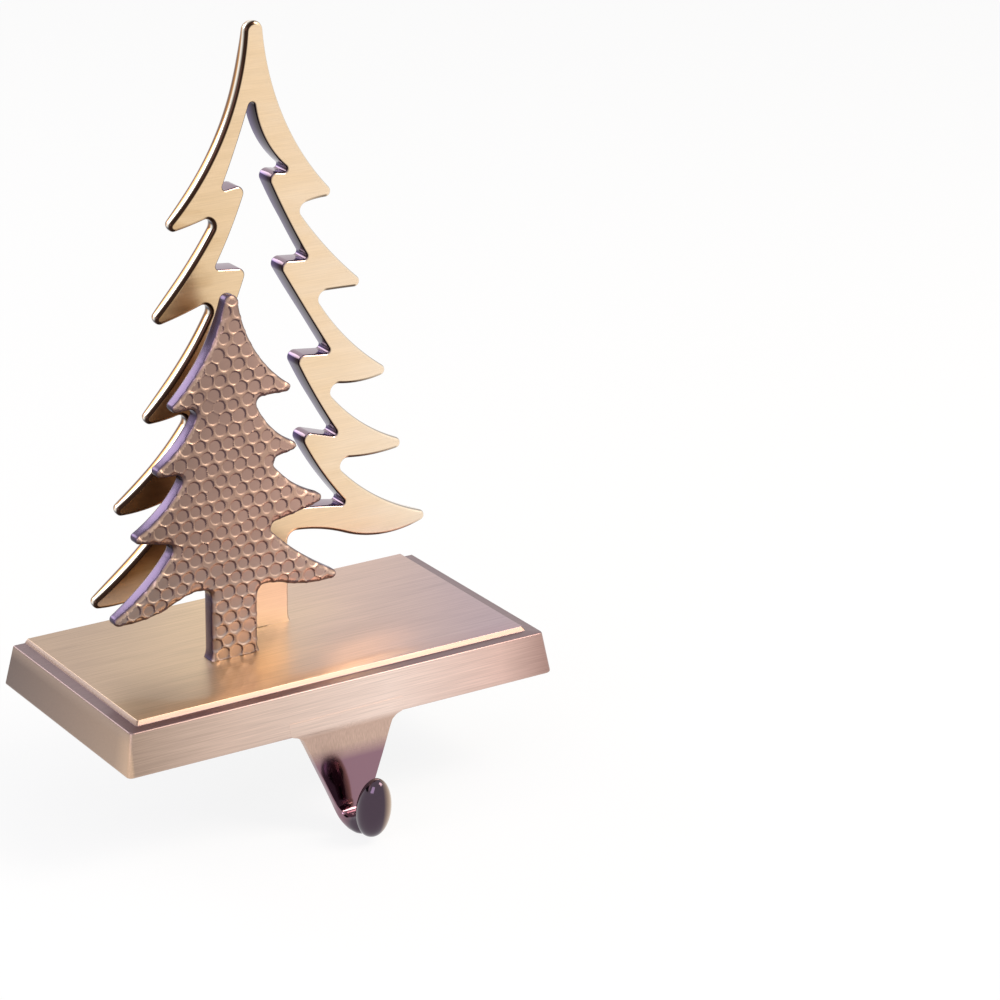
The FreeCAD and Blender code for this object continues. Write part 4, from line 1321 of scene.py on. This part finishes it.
@dataclass
class Hook:
    """Tongue that runs on from the front wall, folds forward and swells into an upturned egg.

    Rows of the course are the middle (y, z) of a section, its half width, half thickness and corner radius.
    """

    course: tuple = (
        (-32.15, 4.0, 16.8, 1.12, 0.12), (-32.45, 2.2, 16.8, 1.12, 0.12), (-32.70, 0.7, 16.4, 1.12, 0.12),
        (-32.78, 0.1, 14.9, 1.12, 0.12), (-32.88, -0.6, 13.7, 1.12, 0.12), (-33.02, -1.8, 12.75, 1.12, 0.14),
        (-33.8, -8.0, 10.15, 1.12, 0.18), (-34.5, -14.0, 7.6, 1.12, 0.22), (-35.05, -18.6, 5.7, 1.15, 0.3),
        (-35.45, -20.9, 4.8, 1.25, 0.45), (-36.4, -22.6, 4.25, 1.5, 0.9), (-38.1, -23.5, 4.05, 1.9, 1.6),
        (-40.2, -23.6, 4.0, 2.4, 2.2), (-42.4, -23.0, 3.9, 2.9, 2.7), (-44.4, -21.3, 3.4, 2.9, 2.6),
    )
    egg_low: tuple = (-44.3, -25.85)
    egg_length: float = 17.2
    egg_radius: float = 4.45
    egg_stoop: float = 13.0
    egg_belly: float = 0.46
    parts: int = 10
    corner_points: int = 7
    egg_rows: int = 40
    egg_columns: int = 48
    sharp: float = 50.0

    def tongue(self) -> np.ndarray:
        """Grid of the tongue: a rectangle with round corners carried square to the course.

        Between rows b and c of the course, with a before and d after them, each value is
        b + t (c - a) / 2 + t t (2 a - 5 b + 4 c - d) / 2 + t t t (3 b - a - 3 c + d) / 2.

        Returns:
            Rows along the course and columns round the section.
        """
        rows = np.array(self.course)
        padded = np.concatenate([2 * rows[:1] - rows[1:2], rows, 2 * rows[-1:] - rows[-2:-1]])
        t = np.linspace(0, 1, self.parts, endpoint=False)[:, None]
        spans = []
        for a, b, c, d in zip(padded, padded[1:], padded[2:], padded[3:]):
            spans.append(b + t * (c - a) / 2 + t ** 2 * (2 * a - 5 * b + 4 * c - d) / 2
                         + t ** 3 * (3 * b - a - 3 * c + d) / 2)
        line = np.concatenate(spans + [rows[-1:]])
        along = np.gradient(line[:, :2], axis=0)
        along /= np.linalg.norm(along, axis=1, keepdims=True)
        aside = np.stack([-along[:, 1], along[:, 0]], -1)
        turn = np.linspace(0, math.pi / 2, self.corner_points)
        angles = np.concatenate([turn + k * math.pi / 2 for k in range(4)])
        reach_x = np.repeat([1, -1, -1, 1], self.corner_points)
        reach_w = np.repeat([1, 1, -1, -1], self.corner_points)
        wide, thick, corner = (line[:, i, None] for i in (2, 3, 4))
        x = (wide - corner) * reach_x + corner * np.cos(angles)
        w = (thick - corner) * reach_w + corner * np.sin(angles)
        y = line[:, 0, None] + aside[:, 0, None] * w
        z = line[:, 1, None] + aside[:, 1, None] * w
        return np.stack([x, y, z], -1)

    def egg(self) -> np.ndarray:
        """Grid of the egg: rings round a stooping axis.

        At share s of the length the radius is R sqrt(4 k (1 - k)), where k is s to the power that makes k a
        half at the belly.

        Returns:
            Rows along the axis and columns round it.
        """
        turn = np.linspace(0, math.pi, self.egg_rows + 1)
        share = (1 - np.cos(turn)) / 2
        skew = share ** (math.log(0.5) / math.log(self.egg_belly))
        radius = self.egg_radius * np.clip(4 * skew * (1 - skew), 0, 1) ** 0.5
        stoop = math.radians(self.egg_stoop)
        axis = np.array([0, -math.sin(stoop), math.cos(stoop)])
        front = np.array([0, math.cos(stoop), math.sin(stoop)])
        angles = np.linspace(0, math.tau, self.egg_columns + 1)[:-1]
        ring = np.cos(angles)[:, None] * np.array([1, 0, 0]) + np.sin(angles)[:, None] * front
        middle = np.array([0, *self.egg_low]) + axis * (share * self.egg_length)[:, None]
        return middle[:, None] + ring[None] * radius[:, None, None]

    def build(self, finish: bpy.types.Material) -> bpy.types.Object:
        """Builds the hook in the place of the CAD casting's own.

        Args:
            finish: Its material.

        Returns:
            The object.
        """
        shell = Shell()
        tongue = self.tongue()
        shell.add_grid(tongue, True)
        for end in (tongue[0], tongue[-1, ::-1]):
            shell.add_face(end)
        shell.add_grid(self.egg(), True)
        hook = shell.build("hook", (0, 0, 0), self.sharp)
        wear(hook, finish)
        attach(hook, "root")
        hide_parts("base_with_hook")
        return hook


@dataclass
class SmallParts:
    """Screws and pad, which keep their CAD meshes."""

    finishes: dict = field(default_factory=lambda: {
        "tree_screws": PlatedSteel(), "non_slip_pad": FoamRubber()})

    def dress(self) -> None:
        """Puts its finish on each CAD node."""
        for node, finish in self.finishes.items():
            wear(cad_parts[node], finish.build())
            report(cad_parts[node])


# The studio

def seen_directly(tree: bpy.types.NodeTree) -> bpy.types.NodeSocket:
    """Socket that is 1 on rays from the camera, off shiny surfaces and through clear ones, and else 0.

    Args:
        tree: Node tree to add its nodes to.

    Returns:
        The socket.
    """
    path = add(tree, "ShaderNodeLightPath").outputs
    seen = path["Is Camera Ray"]
    for ray in ("Is Glossy Ray", "Is Transmission Ray"):
        seen = add(tree, "ShaderNodeMath", {0: seen, 1: path[ray]}, operation="MAXIMUM").outputs[0]
    return seen


@dataclass
class Studio:
    """Pale floor, soft lamps, pale surroundings and the camera of the photograph."""

    floor_z: float = -0.0275
    floor_half: float = 4.0
    floor_lines: int = 9
    floor_glow: float = 0.87
    sky_light: float = 0.55
    aim_z: float = 0.07
    camera_place: tuple = (-0.41720, -0.72017, 0.36775)
    camera_right: tuple = (0.832636, -0.553601, 0.015616)
    camera_down: tuple = (-0.185103, -0.304755, -0.934270)
    camera_ahead: tuple = (0.521972, 0.775016, -0.356223)
    focal_px: float = 3486.2
    picture_px: int = 1000
    sensor_mm: float = 36.0

    def set_camera(self) -> None:
        """Makes the camera from its three axes and its focal length in pixels of the picture."""
        data = bpy.data.cameras.new("photo_camera")
        data.sensor_width = self.sensor_mm
        data.lens = self.sensor_mm * self.focal_px / self.picture_px
        data.clip_start, data.clip_end = 0.01, 50.0
        camera = bpy.data.objects.new("photo_camera", data)
        bpy.context.scene.collection.objects.link(camera)
        axes = Matrix((self.camera_right, tuple(-c for c in self.camera_down),
                       tuple(-c for c in self.camera_ahead))).transposed()
        camera.matrix_world = Matrix.Translation(self.camera_place) @ axes.to_4x4()
        bpy.context.scene.camera = camera

    def lay_floor(self) -> None:
        """Lays a wide pale floor that keeps a shadow and shows nearly white to the camera and in metal."""
        u = np.linspace(-self.floor_half, self.floor_half, self.floor_lines)
        grid = np.stack(np.meshgrid(u, u), -1).reshape(-1, 2)
        number = np.arange(len(grid)).reshape(len(u), len(u))
        quads = np.stack([number[:-1, :-1], number[:-1, 1:], number[1:, 1:], number[1:, :-1]], -1)
        mesh = bpy.data.meshes.new("floor")
        points = np.column_stack([grid, np.full(len(grid), self.floor_z)])
        mesh.from_pydata(points.tolist(), [], quads.reshape(-1, 4).tolist())
        floor = bpy.data.objects.new("floor", mesh)
        bpy.context.scene.collection.objects.link(floor)
        material, tree = new_material("studio_paper")
        share = add(tree, "ShaderNodeMath", {0: seen_directly(tree), 1: self.floor_glow},
                    operation="MULTIPLY")
        paper = add(tree, "ShaderNodeBsdfDiffuse", {"Color": linear("#f4f4f6")})
        glow = add(tree, "ShaderNodeEmission", {"Color": (1, 1, 1, 1), "Strength": 1.0})
        both = add(tree, "ShaderNodeMixShader", {
            0: share.outputs[0], 1: paper.outputs[0], 2: glow.outputs[0]})
        add(tree, "ShaderNodeOutputMaterial", {0: both.outputs[0]})
        wear(floor, material)

    def light(self) -> None:
        """Sets the lamps and the surroundings."""
        lamps = (
            ("key", (0.55, -0.55, 0.85), 0.55, 9.0, "#fff3e2"),
            ("fill", (-0.85, -0.35, 0.45), 0.50, 3.0, "#efe6ff"),
            ("back", (-0.35, 0.80, 0.50), 0.40, 2.0, "#ffffff"),
        )
        for name, place, side, power, tint in lamps:
            data = bpy.data.lights.new(name, "AREA")
            data.size = side
            data.energy = power
            data.color = linear(tint)[:3]
            lamp = bpy.data.objects.new(name, data)
            bpy.context.scene.collection.objects.link(lamp)
            aim = Vector((0.0, 0.0, self.aim_z)) - Vector(place)
            turn = aim.to_track_quat("-Z", "Y").to_matrix().to_4x4()
            lamp.matrix_world = Matrix.Translation(place) @ turn
        world = bpy.data.worlds.new("studio")
        world.use_nodes = True
        tree = world.node_tree
        tree.nodes.clear()
        strength = add(tree, "ShaderNodeMapRange", {
            "Value": seen_directly(tree), "To Min": self.sky_light, "To Max": 1.0})
        sky = add(tree, "ShaderNodeBackground", {"Color": (1, 1, 1, 1), "Strength": strength.outputs[0]})
        add(tree, "ShaderNodeOutputWorld", {0: sky.outputs[0]})
        bpy.context.scene.world = world
        bpy.context.scene.view_settings.view_transform = "Standard"


def main() -> None:
    """Builds the studio and the pieces in order."""
    logging.basicConfig(level=logging.INFO, format="%(message)s")
    studio = Studio()
    studio.set_camera()
    studio.lay_floor()
    studio.light()
    brass = AntiqueBrass().build()
    report(Plinth().build(brass))
    report(Hook().build(brass))
    SmallParts().dress()
    report(TallTree().build(BrushedBrass().build()))
    report(HammeredTree().build(HammeredBrass().build()))


if __name__ == "__main__":
    main()
